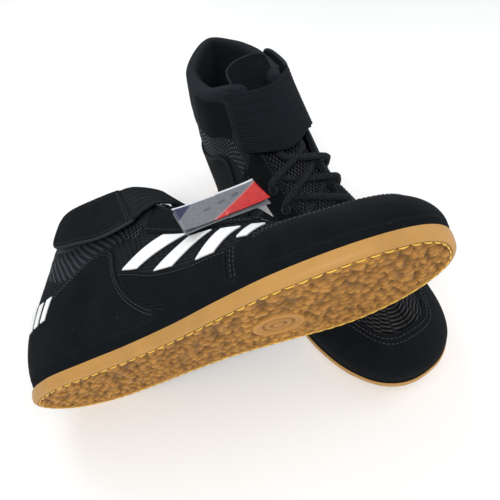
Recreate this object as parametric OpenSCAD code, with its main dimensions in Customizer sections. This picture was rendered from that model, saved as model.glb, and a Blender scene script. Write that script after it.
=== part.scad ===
// Pair of boxing boots: the left boot stands on its sole, the right boot lies
// on its inner side across the left forefoot. Millimetres, +Z up. The origin is
// on the ground under the left sole; the left toe points along -Y.
// Each boot is drawn once, as a right boot with its toe along +X and its inner
// side at +Y, and placed twice. Every leather or fabric panel is a thin shell
// offset from one lasted surface, given by stations round the foot.

/* [Last and sole] */
// length of the lasted upper from heel to toe tip
foot_length = 284; // [240:1:320]
// width of the lasted upper across the ball
ball_width = 93; // [80:1:110]
// height of the collar above the ground
collar_height = 149; // [120:1:180]
// height the toe tip of the sole rises off the ground
toe_spring = 6; // [0:0.5:12]
// how far the cup sole's side wall stands out of the upper
wall_out = 2.6; // [2.2:0.1:5]
// gap between the upper and the inside of the cup wall
wall_gap = 1.3; // [0.8:0.1:2]
// height of the cup wall above the feather edge
wall_lip = 0.6; // [0.5:0.1:3]
// distance of the stitch groove in from the sole's edge
groove_in = 1.6; // [1.2:0.1:5]
// width of the stitch groove
groove_w = 2; // [1.2:0.1:3]
// depth of the stitch groove
groove_d = 1.8; // [1:0.1:3]
// number of stitch dashes round one sole
stitch_count = 60; // [30:2:100]
// radius of the shallow disc recessed in the tread under the ball
tread_disc_r = 17; // [10:1:25]

/* [Upper] */
// thickness of the base fabric and mesh panels
base_t = 1.2; // [0.8:0.1:2]
// thickness of the suede overlays
suede_t = 1.1; // [0.8:0.1:2]
// air left between two sewn layers
layer_gap = 0.6; // [0.3:0.1:1]
// depth of the lining's outer face under the base panels
lining_in = 3.5; // [2.5:0.1:5]
// extra depth of the lining behind the padded collar
collar_pad = 6; // [3:0.5:9]
// depth of the tongue's top face under the throat
tongue_in = 8; // [6:0.5:12]
// thickness of the tongue
tongue_t = 2.6; // [1.5:0.1:4]
// thickness of the slanted side bars and heel bars
stripe_t = 0.6; // [0.3:0.1:1.2]

// length of the tongue's free end above the throat
tongue_top_l = 30; // [20:1:40]
// how far the tongue's free end leans back
tongue_lean = 42; // [20:1:60]

/* [Lean of the lying boot] */
// how far the lying boot's soft shaft leans back at its top
lean_back = 9; // [0:1:16]
// how far the lying boot's soft shaft leans to its inner side at its top
lean_in = 17; // [0:1:20]
// how far the lean lowers the top of the lying boot's shaft
lean_down = 3; // [0:0.5:5]

/* [Lacing] */
// number of eyelet rows
lace_rows = 4; // [3:1:5]
// radius of the round lace
lace_r = 2.5; // [1.5:0.1:3]
// radius of the holes punched for the lace
eyelet_r = 3.5; // [2.5:0.1:4.5]
// station of the lowest eyelet row, counted from the toe
row_first = 4.5; // [4.2:0.1:5]
// distance between rows, in stations
row_step = 0.53; // [0.4:0.01:0.6]
// length of a lace tip
aglet_l = 15; // [10:1:20]

/* [Strap] */
// thickness of the ankle strap
strap_t = 2; // [1.2:0.1:3]
// share of the strap's path, from its free end, that is the suede tab
strap_split = 0.45; // [0.3:0.01:0.6]

/* [Hang tag] */
// width of the folded card tag
tag_w = 56; // [40:1:90]
// height of the folded card tag
tag_h = 27; // [20:1:60]
// thickness of the card
tag_t = 0.8; // [0.5:0.1:1.5]

// centre of the hang tag
tag_at = [-73.2, -29.8, 120.2]; // [-200:0.1:200]
// tilt of the hang tag about X, Y and Z in degrees
tag_tilt = [-7.6, 4.3, -3.6]; // [-180:0.1:180]

/* [Right boot on the left] */
// where the right boot's own origin sits
right_at = [-233.4, -28.9, 18.1]; // [-300:0.1:300]
// tilt of the right boot about X, Y and Z in degrees
right_tilt = [-73.7, -20.1, -24.6]; // [-180:0.1:180]

/* [Hidden] */
$fn = 32;
net_length = 284;
net_width = 93;
net_height = 149;
scl = [foot_length / net_length, ball_width / net_width, collar_height / net_height];
// stations from the toe tip to the heel: feather edge point, handle up from
// it, handle down from the top line, top line point
outer_net = [
  [284, 3, 17, 7, 0, 15, 30, 0, 0, 238, 3, 52],
  [279, -16, 16, 5, -2, 15, 24, -14, -1, 236, 3, 52],
  [264, -31, 14, 3, -3, 16, 14, -21, -3, 230, 3, 53],
  [237, -42, 12, 0, -3, 18, 6, -24, -5, 218, 3, 56],
  [202, -46, 11, 0, -3, 23, 3, -25, -6, 200, 2, 62],
  [168, -42, 11, 0, -5, 28, 6, -20, -10, 172, -12, 75],
  [134, -36, 11, 0, -3, 32, 5, -13, -18, 144, -15, 93],
  [98, -33, 11, 0, -2, 36, 4, -13, -26, 120, -17, 118],
  [66, -33, 11, 0, -2, 40, 0, -12, -34, 106, -12, 148],
  [34, -32, 11, -2, -2, 44, 2, -7, -44, 76, -25, 142],
  [8, -20, 11, -13, -6, 36, 1, -6, -46, 38, -24, 144],
  [0, 0, 11, -20, 0, 34, -3, 0, -48, 12, 0, 149]];
inner_net = [
  [284, 3, 17, 7, 0, 15, 30, 0, 0, 238, 3, 52],
  [281, 20, 16, 6, 3, 15, 24, 15, 0, 236, 3, 52],
  [268, 34, 14, 3, 5, 16, 14, 23, -1, 230, 3, 53],
  [243, 44, 12, 0, 6, 19, 6, 26, -3, 218, 3, 56],
  [207, 47, 11, 0, 4, 24, 3, 26, -5, 200, 2, 62],
  [170, 38, 11, 0, 3, 28, 6, 20, -10, 172, 14, 75],
  [134, 30, 11, 0, 2, 32, 8, 18, -16, 144, 17, 93],
  [98, 30, 11, 0, 2, 36, 8, 20, -24, 120, 18, 118],
  [66, 32, 11, 0, 2, 40, 2, 18, -34, 106, 19, 148],
  [34, 31, 11, -2, 2, 44, 2, 5, -44, 76, 36, 142],
  [9, 20, 11, -13, 6, 36, 1, 4, -46, 38, 32, 144],
  [0, 0, 11, -20, 0, 34, -3, 0, -48, 12, 0, 149]];
heel = 11;
lap = 2 * heel;
probe = 0.02;
ground_in = 1.2;
lean_from = 45;
lean_over = 105;
over_in = layer_gap;
over_out = over_in + suede_t;
second_in = over_out + layer_gap;

// root of the tongue's free end
tongue_pivot = [104.5, 3.5, 137];

// ankle strap: lower and upper edge from its free end round the front to the inner seam
strap_low = [[38, -36, 106], [58, -37, 100], [82, -33.5, 96], [106, -31.5, 98],
  [125, -22, 112], [137.5, 2, 112], [127, 26, 113], [109.5, 31.5, 113]];
strap_high = [[42, -33, 140], [56, -34, 141], [74, -31.5, 142], [90, -26, 145],
  [102, -18.5, 148], [113, 2, 149], [107, 23, 150], [98, 30, 151]];

// panel outlines: [coordinate along, low edge, high edge]. Round panels run
// from -11 at the heel along the outer side to 0 at the toe tip and on to 11
// at the heel along the inner side; vamp panels run up the crest from the toe.
vamp_edge = [[-3.97, -0.96, 0.96], [-0.5, -0.92, 0.92], [-0.25, -0.9, 0.9], [-0.03, -0.9, 0.9]];
cap_edge = [[-4.75, 0.05, 0.3], [-4.5, 0.05, 0.36], [-4, 0.05, 0.5], [-3, 0.05, 0.6], [-1, 0.05, 0.6],
  [0, 0.05, 0.64], [1, 0.05, 0.6], [3, 0.05, 0.6], [4, 0.05, 0.5], [4.5, 0.05, 0.36], [4.75, 0.05, 0.3]];
puff_edge = [[-2.5, 0.04, 0.5], [-1, 0.04, 0.7], [0, 0.04, 0.75], [1, 0.04, 0.7], [2.5, 0.04, 0.5]];
quarter_edge = [[-10.96, 0, 0.6], [-10, 0, 0.6], [-9.2, 0, 0.5], [-8.3, 0, 0.55], [-7.3, 0, 0.6],
  [-7.03, 0, 0.66], [-7, 0, 0.98], [-5, 0, 0.99], [-4.4, 0, 0.96], [-4.03, 0, 0.93]];
stay_edge = [[-6.98, 0.64, 0.97], [-6.5, 0.66, 0.98], [-5.5, 0.66, 0.98],
  [-5, 0.66, 0.98], [-4.5, 0.68, 0.95]];
side_edge = [[-7.4, 0.375, 0.39], [-7, 0.275, 0.385], [-6.5, 0.17, 0.35], [-6.13, 0.1, 0.335],
  [-6.05, 0.05, 0.333], [-5.25, 0.05, 0.315], [-4.8, 0.05, 0.32]];
counter_edge = [[6.15, 0.05, 0.09], [6.5, 0.05, 0.15], [7, 0.05, 0.26], [7.5, 0.05, 0.38],
  [8, 0.05, 0.52], [8.5, 0.05, 0.54], [9, 0.05, 0.47], [9.5, 0.05, 0.42], [10, 0.05, 0.44],
  [11, 0.05, 0.47], [12, 0.05, 0.44], [12.5, 0.05, 0.42], [13, 0.05, 0.47], [13.5, 0.05, 0.54],
  [14, 0.05, 0.52], [14.5, 0.05, 0.38], [15, 0.05, 0.26], [15.5, 0.05, 0.15], [15.85, 0.05, 0.09]];
stiff_edge = [[8, 0.04, 0.2], [9, 0.04, 0.34], [11, 0.04, 0.4], [13, 0.04, 0.34], [14, 0.04, 0.2]];
ankle_edge = [[7.3, 0.63, 0.68], [8.3, 0.57, 0.68], [9.2, 0.52, 0.68], [10, 0.62, 0.68],
  [11, 0.62, 0.68], [12, 0.62, 0.68], [12.8, 0.52, 0.68], [13.7, 0.57, 0.68], [14.7, 0.63, 0.68]];
collar_edge = [[7.1, 0.7, 0.95], [7.3, 0.69, 0.97], [8.3, 0.69, 0.98], [13.7, 0.69, 0.98],
  [14.7, 0.69, 0.97], [14.9, 0.7, 0.95]];
foam_edge = [[8.2, 0.74, 0.9], [8.5, 0.72, 0.95], [9, 0.7, 0.96], [11, 0.7, 0.96], [13, 0.7, 0.96],
  [13.5, 0.72, 0.95], [13.8, 0.74, 0.9]];
lining_edge = [[4.2, 0.03, 0.7], [7, 0.03, 0.64], [7.8, 0.03, 0.7], [8.3, 0.03, 0.96], [9, 0.03, 0.97],
  [13, 0.03, 0.97], [13.7, 0.03, 0.96], [14.2, 0.03, 0.7], [15, 0.03, 0.64], [17.8, 0.03, 0.7]];
anchor_edge = [[8, 0.7, 0.84], [8.5, 0.7, 0.95], [9, 0.7, 0.97], [9.3, 0.72, 0.97]];
loop_edge = [[-9.9, 0.74, 0.95], [-9.5, 0.7, 0.95], [-8.7, 0.72, 0.93]];
tongue_edge = [[-7.5, 0.08, 0.92], [-7, 0.06, 0.94], [-6, 0, 1], [-5, -0.1, 1.1], [-4.4, -0.15, 1.15]];
// bars: centre and width of the low end, centre and width of the high end, their heights
bars = [[-7.12, 0.44, -6.2, 0.6, 0.4, 0.6], [-6.25, 0.42, -5.52, 0.52, 0.36, 0.58],
  [-5.25, 0.4, -4.82, 0.38, 0.33, 0.56], [-4.52, 0.2, -4.3, 0.26, 0.42, 0.58]];

function unit(v) = v / norm(v);
function mid(a, b, s) = a + (b - a) * s;
function clamp01(x) = min(1, max(0, x));
function spline(a, b, c, d, f) =
  0.5 * (2 * b + (c - a) * f + (2 * a - 5 * b + 4 * c - d) * f * f + (3 * b - a - 3 * c + d) * f * f * f);
function along(points, s) = let (n = len(points) - 1, x = s * n, i = max(0, min(floor(x), n - 1)),
    a = points[max(i - 1, 0)], d = points[min(i + 2, n)])
  spline(a, points[i], points[i + 1], d, x - i);

// lean of the shaft, which grows from the instep to the collar; $lean is 1 in
// the lying boot and 0 in the standing one
function leaned(p) = let (s = clamp01((p.z - lean_from) / lean_over))
  p + [-lean_back, lean_in, -lean_down] * (s * s * (2 - s) * $lean);

// lasted surface
function row(side, i) = let (j = i < 0 ? -i : i > heel ? lap - i : i, s = i < 0 || i > heel ? -side : side)
  s < 0 ? outer_net[j] : inner_net[j];
function station(side, u) = let (i = min(floor(u), heel - 1))
  spline(row(side, i - 1), row(side, i), row(side, i + 1), row(side, i + 2), u - i);
function bezier(r, t) = let (f = [r[0], r[1], r[2]], a = f + [r[3], r[4], r[5]], e = [r[9], r[10], r[11]],
    b = e + [r[6], r[7], r[8]], m = 1 - t)
  f * m * m * m + a * 3 * m * m * t + b * 3 * m * t * t + e * t * t * t;
function last(side, u, t) = let (p = bezier(station(side, u), t))
  leaned([p.x * scl.x, p.y * scl.y, p.z * scl.z]);
function wrap(v) = v > heel ? v - lap : v < -heel ? v + lap : v;
// kinds of surface: 0 round the foot, 1 over the vamp, 2 across the throat, 3 the strap
function on(kind, a, b) =
  kind == 0 ? (let (v = wrap(a)) last(v < 0 ? -1 : 1, abs(v), b)) :
  kind == 1 ? last(b < 0 ? -1 : 1, -a, 1 - abs(b)) :
  kind == 2 ? mid(last(-1, -a, 1), last(1, -a, 1), b) :
  leaned(mid(along(strap_low, a), along(strap_high, a), b));
function facing(kind, a, b) = let (da = on(kind, a + probe, b) - on(kind, a - probe, b),
    db = on(kind, a, b + probe) - on(kind, a, b - probe))
  unit(cross(da, db));
function depth(o, a, b) = is_num(o) ? o : o(a, b);
function skin(kind, a, b, o) = on(kind, a, b) + facing(kind, a, b) * depth(o, a, b);
function lining_out(a, b) = -lining_in
  - collar_pad * clamp01((b - 0.55) * 5) * clamp01(abs(abs(wrap(a))) - 7);

// colours
gum = "#c08a45";
thread = "#e0b53c";
board = "#b9ad98";
knit = "#242528";
mesh = "#1c1d20";
suede = "#18191b";
cloth = "#1f2124";
white = "#e9e9e7";
foam = "#3a3a3c";
cord = "#151618";
elastic = "#202226";
card_c = "#d8d8dc";
red_c = "#c8323c";

// thin shell over part of a surface: edge lists the outline, o_in and o_out
// the depths of its two faces, step the spacing along and nb the cells across
module panel(kind, edge, o_in, o_out, step = 0.5, nb = 5) {
  a0 = edge[0][0];
  a1 = edge[len(edge) - 1][0];
  low = [for (e = edge) [e[0], e[1]]];
  high = [for (e = edge) [e[0], e[2]]];
  as = concat([a0], [for (k = [1:len(edge) - 1])
    let (from = ceil(edge[k - 1][0] / step + 0.2), to = floor(edge[k][0] / step - 0.2))
      each concat([for (i = [from:1:to]) i * step], [edge[k][0]])]);
  na = len(as);
  m = nb + 1;
  half = na * m;
  points = [for (o = [o_in, o_out]) for (a = as) for (j = [0:nb])
    skin(kind, a, mid(lookup(a, low), lookup(a, high), j / nb), o)];
  faces = [
    for (i = [0:na - 2]) for (j = [0:nb - 1]) let (p = i * m + j)
      each [[p, p + m + 1, p + 1], [p, p + m, p + m + 1],
        [half + p, half + p + 1, half + p + m + 1], [half + p, half + p + m + 1, half + p + m]],
    for (i = [0:na - 2]) let (p = i * m, q = p + nb)
      each [[p, half + p + m, p + m], [p, half + p, half + p + m],
        [q, q + m, half + q + m], [q, half + q + m, half + q]],
    for (j = [0:nb - 1]) let (p = j, q = (na - 1) * m + j)
      each [[p, p + 1, half + p + 1], [p, half + p + 1, half + p],
        [q, half + q + 1, q + 1], [q, half + q, half + q + 1]]];
  polyhedron(points, faces, convexity = 8);
}

// ring of points round the foot at a distance out from the feather edge
function edge_out(v) = let (d = on(0, v + probe, 0) - on(0, v - probe, 0)) unit([d.y, -d.x, 0]);
function ground(x) = toe_spring * pow(max(0, (x - 205) / 80), 2);
function ring(out, up, from_top) = [for (i = [0:2 * lap - 1])
  let (v = -heel + i / 2, p = on(0, v, 0), q = p + edge_out(v) * out)
    [q.x, q.y, from_top ? p.z + up : ground(q.x) + up]];

// solid through stacked rings that share one number of points; its two ends
// are closed by strips across the foot
module stack(rings) {
  n = len(rings[0]);
  k = len(rings);
  top = (k - 1) * n;
  h = n / 2;
  strips = [for (base = [0, top]) let (flip = base == 0)
    for (i = [0:h - 1]) let (a = base + (h - i) % n, b = base + (h - i - 1 + n) % n,
        c = base + (h + i) % n, d = base + (h + i + 1) % n)
      for (f = [[a, b, d], [a, d, c]])
        if (f[0] != f[1] && f[1] != f[2] && f[2] != f[0]) flip ? [f[2], f[1], f[0]] : f];
  walls = [for (r = [0:k - 2]) for (i = [0:n - 1]) let (j = (i + 1) % n, p = r * n)
    each [[p + i, p + n + j, p + j], [p + i, p + n + i, p + n + j]]];
  polyhedron([for (r = rings) each r], concat(strips, walls), convexity = 6);
}

// cup sole with a stitch groove and a shallow disc recessed in the tread
module outsole() {
  difference() {
    stack([
      ring(-ground_in - groove_in - groove_w, groove_d, false),
      ring(-ground_in - groove_in, groove_d, false),
      ring(-ground_in - groove_in + 0.1, 0, false),
      ring(-ground_in, 0, false),
      ring(1.2, 1.8, false),
      ring(wall_out - 0.3, 5, false),
      ring(wall_out, wall_lip, true),
      ring(wall_gap, wall_lip, true),
      ring(wall_gap - 0.05, -0.3, true)]);
    translate([180, 2, -1]) cylinder(r = tread_disc_r, h = 1.6);
  }
  difference() {
    stack([
      ring(-ground_in - groove_in - groove_w - 0.4, 0, false),
      ring(-ground_in - groove_in - groove_w - 0.3, groove_d + 0.4, false)]);
    translate([180, 2, -1]) cylinder(r = tread_disc_r, h = 1.6);
  }
}

// dashes of thread lying in the sole's groove
module sole_stitching() {
  for (i = [0:stitch_count - 1]) {
    v = -heel + lap * (i + 0.5) / stitch_count;
    p = on(0, v, 0);
    n = edge_out(v);
    q = p + n * (-ground_in - groove_in - groove_w / 2);
    translate([q.x, q.y, ground(q.x) + 0.5])
      rotate([0, 0, atan2(n.y, n.x)]) cube([0.6, 4, 0.8], center = true);
  }
}

// board the upper is lasted over
module insole_board() {
  stack([ring(-5.4, 0.2, true), ring(-5.4, 1.7, true)]);
}

// removable footbed
module sockliner() {
  stack([ring(-5.8, 2.1, true), ring(-5.4, 4, true), ring(-5.8, 5.6, true)]);
}

module vamp_mesh() {
  panel(1, vamp_edge, -base_t, 0, 0.25, 12);
}

module toe_cap() {
  panel(0, cap_edge, over_in, over_out, 0.25, 5);
}

module toe_puff() {
  panel(0, puff_edge, -lining_in + 0.4, -base_t - layer_gap, 0.5, 4);
}

// side panel from the vamp to the back seam, punched for the lace
module quarter(side) {
  difference() {
    if (side < 0) panel(0, quarter_edge, -base_t, 0, 0.5, 6);
    else panel(0, flipped(quarter_edge), -base_t, 0, 0.5, 6);
    eyelet_holes(side);
  }
}

// suede band along the throat edge, punched for the lace
module eyestay(side) {
  difference() {
    if (side < 0) panel(0, stay_edge, over_in, over_out, 0.5, 3);
    else panel(0, flipped(stay_edge), over_in, over_out, 0.5, 3);
    eyelet_holes(side);
  }
}

function flipped(edge) = [for (i = [len(edge) - 1:-1:0]) [-edge[i][0], edge[i][1], edge[i][2]]];
function row_at(i) = row_first + i * row_step;
function eyelet(side, i) = on(0, side * row_at(i), 0.87);
function eyelet_n(side, i) = facing(0, side * row_at(i), 0.87);
function to_edge(side, i) = unit(on(0, side * row_at(i), 1) - on(0, side * row_at(i), 0.8));

module eyelet_holes(side) {
  for (i = [0:lace_rows - 1]) {
    n = eyelet_n(side, i);
    translate(eyelet(side, i) - n * 3)
      rotate([0, acos(n.z), atan2(n.y, n.x)]) cylinder(r = eyelet_r, h = 6, $fn = 16);
  }
}

// four slanted bars on each side
module side_stripes() {
  for (side = [-1, 1]) for (bar = bars) slant_panel(side, bar);
}

// bar leaning towards the throat between two heights of a side
module slant_panel(side, bar) {
  n = 4;
  rows = [for (o = [over_in, over_in + stripe_t]) for (j = [0:n]) for (e = [-0.5, 0.5])
    let (s = j / n, a = mid(bar[0], bar[2], s) + e * mid(bar[1], bar[3], s))
      skin(0, -side * a, mid(bar[4], bar[5], s), o)];
  m = 2 * (n + 1);
  faces = [
    for (j = [0:n - 1]) let (p = 2 * j) each [[p, p + 2, p + 1], [p + 1, p + 2, p + 3],
      [m + p, m + p + 1, m + p + 2], [m + p + 1, m + p + 3, m + p + 2],
      [p, m + p, m + p + 2], [p, m + p + 2, p + 2],
      [p + 1, p + 3, m + p + 3], [p + 1, m + p + 3, m + p + 1]],
    [0, 1, m + 1], [0, m + 1, m], [2 * n, m + 2 * n, m + 2 * n + 1], [2 * n, m + 2 * n + 1, 2 * n + 1]];
  polyhedron(rows, side > 0 ? faces : [for (f = faces) [f[2], f[1], f[0]]], convexity = 3);
}

// suede overlay between the heel counter and the toe cap, on each side
module side_overlays() {
  panel(0, side_edge, over_in, over_out, 0.5, 4);
  panel(0, flipped(side_edge), over_in, over_out, 0.5, 4);
}

module heel_counter() {
  panel(0, counter_edge, over_in, over_out, 0.5, 5);
}

module heel_stiffener() {
  panel(0, stiff_edge, -lining_in + 0.4, -base_t - layer_gap, 0.5, 4);
}

// three short plain bars on the outer heel
module heel_mark() {
  for (k = [0:2]) let (a = 12.1 + 0.22 * k)
    panel(0, [[a, 0.3, 0.42], [a + 0.13, 0.3, 0.42]], second_in, second_in + stripe_t, 0.5, 2);
}

module ankle_mesh() {
  panel(0, ankle_edge, -base_t, 0, 0.5, 2);
}

module collar_knit() {
  panel(0, collar_edge, -base_t, 0, 0.5, 4);
}

module collar_foam() {
  panel(0, foam_edge, function (a, b) lining_out(a, b) + layer_gap, -base_t - layer_gap, 0.5, 4);
}

module lining() {
  panel(0, lining_edge, function (a, b) lining_out(a, b) - 1, function (a, b) lining_out(a, b), 0.5, 8);
}

module tongue() {
  panel(2, tongue_edge, -tongue_in - tongue_t, -tongue_in, 0.25, 4);
}

// stiff suede end of the tongue, leaning back above the strap
module tongue_top() {
  root = leaned(tongue_pivot);
  up = unit(leaned(tongue_pivot + [-sin(tongue_lean), 0, cos(tongue_lean)] * tongue_top_l / 2) - root);
  translate(root) rotate([asin(-up.y), -atan2(-up.x, up.z), 0]) rotate([0, 90, 0])
    linear_extrude(height = 2.4, center = true) difference() {
      translate([-tongue_top_l / 2 - 1, 0]) offset(r = 8) square([tongue_top_l - 16, 15], center = true);
      translate([-tongue_top_l * 0.4, 0]) circle(r = 1.6);
    }
}

// lace: down one zigzag, across the lowest row and up the other
function turn(side, i, up) = let (c = eyelet(side, i), n = eyelet_n(side, i), e = to_edge(side, i),
    out = [c + e * 8.5 + n * 5, c + e * 2.8 + n * 4.7], in = [c + e * 2.8 - n * 4.1, c + e * 8 - n * 4.3])
  up ? [in[1], in[0], c + n * 0.25, out[1], out[0]] : [out[0], out[1], c + n * 0.25, in[0], in[1]];
function crossing(i, h) = let (a = -(row_at(i) + row_step / 2)) on(2, a, 0.5) + facing(2, a, 0.5) * h;
function end_run(s) = [for (q = [[6.4, 4.2], [6.7, 2.6], [7, 1.6]])
  on(2, -q[0], s) + facing(2, -q[0], s) * q[1]];
function lace_path() = concat(
  [for (q = [2:-1:0]) end_run(0.3)[q]],
  [for (i = [lace_rows - 1:-1:0]) each concat(turn(i % 2 == 0 ? -1 : 1, i, false),
    i > 0 ? [crossing(i - 1, -2.1)] : [])],
  [for (i = [0:lace_rows - 1]) each concat(i > 0 ? [crossing(i - 1, 3.9)] : [],
    turn(i % 2 == 0 ? 1 : -1, i, true))],
  end_run(0.7));

function next_up(d, up) = unit(up - d * (up * d));
// round tube along a path; its frame is carried along so it never flips
module tube(path, r, sides = 8) {
  n = len(path);
  dirs = [for (i = [0:n - 1]) unit(path[min(i + 1, n - 1)] - path[max(i - 1, 0)])];
  ups = [for (i = 0, u = next_up(dirs[0], [0.3, 0.5, 0.8]); i < n;
    i = i + 1, u = next_up(dirs[min(i, n - 1)], u)) u];
  points = [for (i = [0:n - 1]) let (x = ups[i], y = cross(dirs[i], x))
    for (k = [0:sides - 1]) path[i] + (x * cos(k * 360 / sides) + y * sin(k * 360 / sides)) * r];
  faces = concat(
    [for (i = [0:n - 2]) for (k = [0:sides - 1]) let (p = i * sides, q = (k + 1) % sides)
      each [[p + k, p + sides + q, p + q], [p + k, p + sides + k, p + sides + q]]],
    [[for (k = [0:sides - 1]) k], [for (k = [sides - 1:-1:0]) (n - 1) * sides + k]]);
  polyhedron(points, faces, convexity = 10);
}

module lace() {
  tube(lace_path(), lace_r);
}

module aglets() {
  for (s = [0.3, 0.7]) {
    p = end_run(s);
    d = unit(p[2] - p[1]);
    translate(p[2] + d * 0.4) rotate([0, acos(d.z), atan2(d.y, d.x)])
      cylinder(r = 1.6, h = aglet_l, $fn = 16);
  }
}

module strap_anchor() {
  panel(0, anchor_edge, over_in, over_out, 0.5, 4);
}

module strap_loop_pad() {
  panel(0, loop_edge, over_in, over_out, 0.5, 3);
}

module strap_elastic() {
  panel(3, [[strap_split + 0.005, 0, 1], [0.98, 0, 1]], 0, strap_t, 0.05, 4);
}

// the tab's free end is rounded
module strap_tab() {
  panel(3, [[0, 0.25, 0.75], [0.04, 0.08, 0.92], [0.1, 0, 1], [strap_split, 0, 1]], 0, strap_t, 0.05, 4);
}

module strap_hook() {
  panel(3, [[0.05, 0.2, 0.8], [0.25, 0.15, 0.85]], -1.4, -0.4, 0.05, 3);
}

// folded card with a printed front and a plain back leaf
module tag_card(lift) {
  translate([0, 0, lift]) linear_extrude(height = tag_t) square([tag_w, tag_h], center = true);
}

module on_left() {
  $lean = 0;
  translate([0, 140, 0]) rotate([0, 0, -90]) mirror([0, 1, 0]) children();
}

module on_right() {
  $lean = 1;
  translate(right_at) rotate(right_tilt) children();
}

module on_tag() {
  translate(tag_at) rotate(tag_tilt) children();
}

// left boot: gum rubber cup sole
module left_outsole() {
  color(gum) on_left() outsole();
}

// left boot: thread in the sole groove
module left_sole_stitching() {
  color(thread) on_left() sole_stitching();
}

// left boot: lasting board
module left_insole_board() {
  color(board) on_left() insole_board();
}

// left boot: removable footbed
module left_sockliner() {
  color(knit) on_left() sockliner();
}

// left boot: mesh over the toes and instep
module left_vamp_mesh() {
  color(mesh) on_left() vamp_mesh();
}

// left boot: suede band round the toe
module left_toe_cap() {
  color(suede) on_left() toe_cap();
}

// left boot: stiffener inside the toe
module left_toe_puff() {
  color(board) on_left() toe_puff();
}

// left boot: outer side panel
module left_quarter_outer() {
  color(cloth) on_left() quarter(-1);
}

// left boot: inner side panel
module left_quarter_inner() {
  color(cloth) on_left() quarter(1);
}

// left boot: outer lacing band
module left_eyestay_outer() {
  color(suede) on_left() eyestay(-1);
}

// left boot: inner lacing band
module left_eyestay_inner() {
  color(suede) on_left() eyestay(1);
}

// left boot: slanted side bars
module left_side_stripes() {
  color(white) on_left() side_stripes();
}

// left boot: suede overlays low on the sides
module left_side_overlays() {
  color(suede) on_left() side_overlays();
}

// left boot: suede heel overlay
module left_heel_counter() {
  color(suede) on_left() heel_counter();
}

// left boot: stiffener inside the heel
module left_heel_stiffener() {
  color(board) on_left() heel_stiffener();
}

// left boot: plain bars on the heel
module left_heel_mark() {
  color(white) on_left() heel_mark();
}

// left boot: open mesh round the ankle
module left_ankle_mesh() {
  color(mesh) on_left() ankle_mesh();
}

// left boot: knit skin of the collar
module left_collar_knit() {
  color(knit) on_left() collar_knit();
}

// left boot: padding of the collar
module left_collar_foam() {
  color(foam) on_left() collar_foam();
}

// left boot: inner lining
module left_lining() {
  color(knit) on_left() lining();
}

// left boot: tongue under the lace
module left_tongue() {
  color(mesh) on_left() tongue();
}

// left boot: free end of the tongue
module left_tongue_top() {
  color(suede) on_left() tongue_top();
}

// left boot: round lace
module left_lace() {
  color(cord) on_left() lace();
}

// left boot: lace tips
module left_aglets() {
  color(cord) on_left() aglets();
}

// left boot: patch the strap is sewn to
module left_strap_anchor() {
  color(suede) on_left() strap_anchor();
}

// left boot: loop pad the strap closes on
module left_strap_loop_pad() {
  color(knit) on_left() strap_loop_pad();
}

// left boot: elastic part of the strap
module left_strap_elastic() {
  color(elastic) on_left() strap_elastic();
}

// left boot: suede end of the strap
module left_strap_tab() {
  color(suede) on_left() strap_tab();
}

// left boot: hook tape under the strap end
module left_strap_hook() {
  color(knit) on_left() strap_hook();
}

// right boot: gum rubber cup sole
module right_outsole() {
  color(gum) on_right() outsole();
}

// right boot: thread in the sole groove
module right_sole_stitching() {
  color(thread) on_right() sole_stitching();
}

// right boot: lasting board
module right_insole_board() {
  color(board) on_right() insole_board();
}

// right boot: removable footbed
module right_sockliner() {
  color(knit) on_right() sockliner();
}

// right boot: mesh over the toes and instep
module right_vamp_mesh() {
  color(mesh) on_right() vamp_mesh();
}

// right boot: suede band round the toe
module right_toe_cap() {
  color(suede) on_right() toe_cap();
}

// right boot: stiffener inside the toe
module right_toe_puff() {
  color(board) on_right() toe_puff();
}

// right boot: outer side panel
module right_quarter_outer() {
  color(cloth) on_right() quarter(-1);
}

// right boot: inner side panel
module right_quarter_inner() {
  color(cloth) on_right() quarter(1);
}

// right boot: outer lacing band
module right_eyestay_outer() {
  color(suede) on_right() eyestay(-1);
}

// right boot: inner lacing band
module right_eyestay_inner() {
  color(suede) on_right() eyestay(1);
}

// right boot: slanted side bars
module right_side_stripes() {
  color(white) on_right() side_stripes();
}

// right boot: suede overlays low on the sides
module right_side_overlays() {
  color(suede) on_right() side_overlays();
}

// right boot: suede heel overlay
module right_heel_counter() {
  color(suede) on_right() heel_counter();
}

// right boot: stiffener inside the heel
module right_heel_stiffener() {
  color(board) on_right() heel_stiffener();
}

// right boot: plain bars on the heel
module right_heel_mark() {
  color(white) on_right() heel_mark();
}

// right boot: open mesh round the ankle
module right_ankle_mesh() {
  color(mesh) on_right() ankle_mesh();
}

// right boot: knit skin of the collar
module right_collar_knit() {
  color(knit) on_right() collar_knit();
}

// right boot: padding of the collar
module right_collar_foam() {
  color(foam) on_right() collar_foam();
}

// right boot: inner lining
module right_lining() {
  color(knit) on_right() lining();
}

// right boot: tongue under the lace
module right_tongue() {
  color(mesh) on_right() tongue();
}

// right boot: free end of the tongue
module right_tongue_top() {
  color(suede) on_right() tongue_top();
}

// right boot: round lace
module right_lace() {
  color(cord) on_right() lace();
}

// right boot: lace tips
module right_aglets() {
  color(cord) on_right() aglets();
}

// right boot: patch the strap is sewn to
module right_strap_anchor() {
  color(suede) on_right() strap_anchor();
}

// right boot: loop pad the strap closes on
module right_strap_loop_pad() {
  color(knit) on_right() strap_loop_pad();
}

// right boot: elastic part of the strap
module right_strap_elastic() {
  color(elastic) on_right() strap_elastic();
}

// right boot: suede end of the strap
module right_strap_tab() {
  color(suede) on_right() strap_tab();
}

// right boot: hook tape under the strap end
module right_strap_hook() {
  color(knit) on_right() strap_hook();
}

// printed front leaf of the hang tag
module tag_front() {
  color(red_c) on_tag() tag_card(0.5);
}

// plain back leaf of the hang tag
module tag_back() {
  color(card_c) on_tag() tag_card(-0.5 - tag_t);
}

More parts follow.
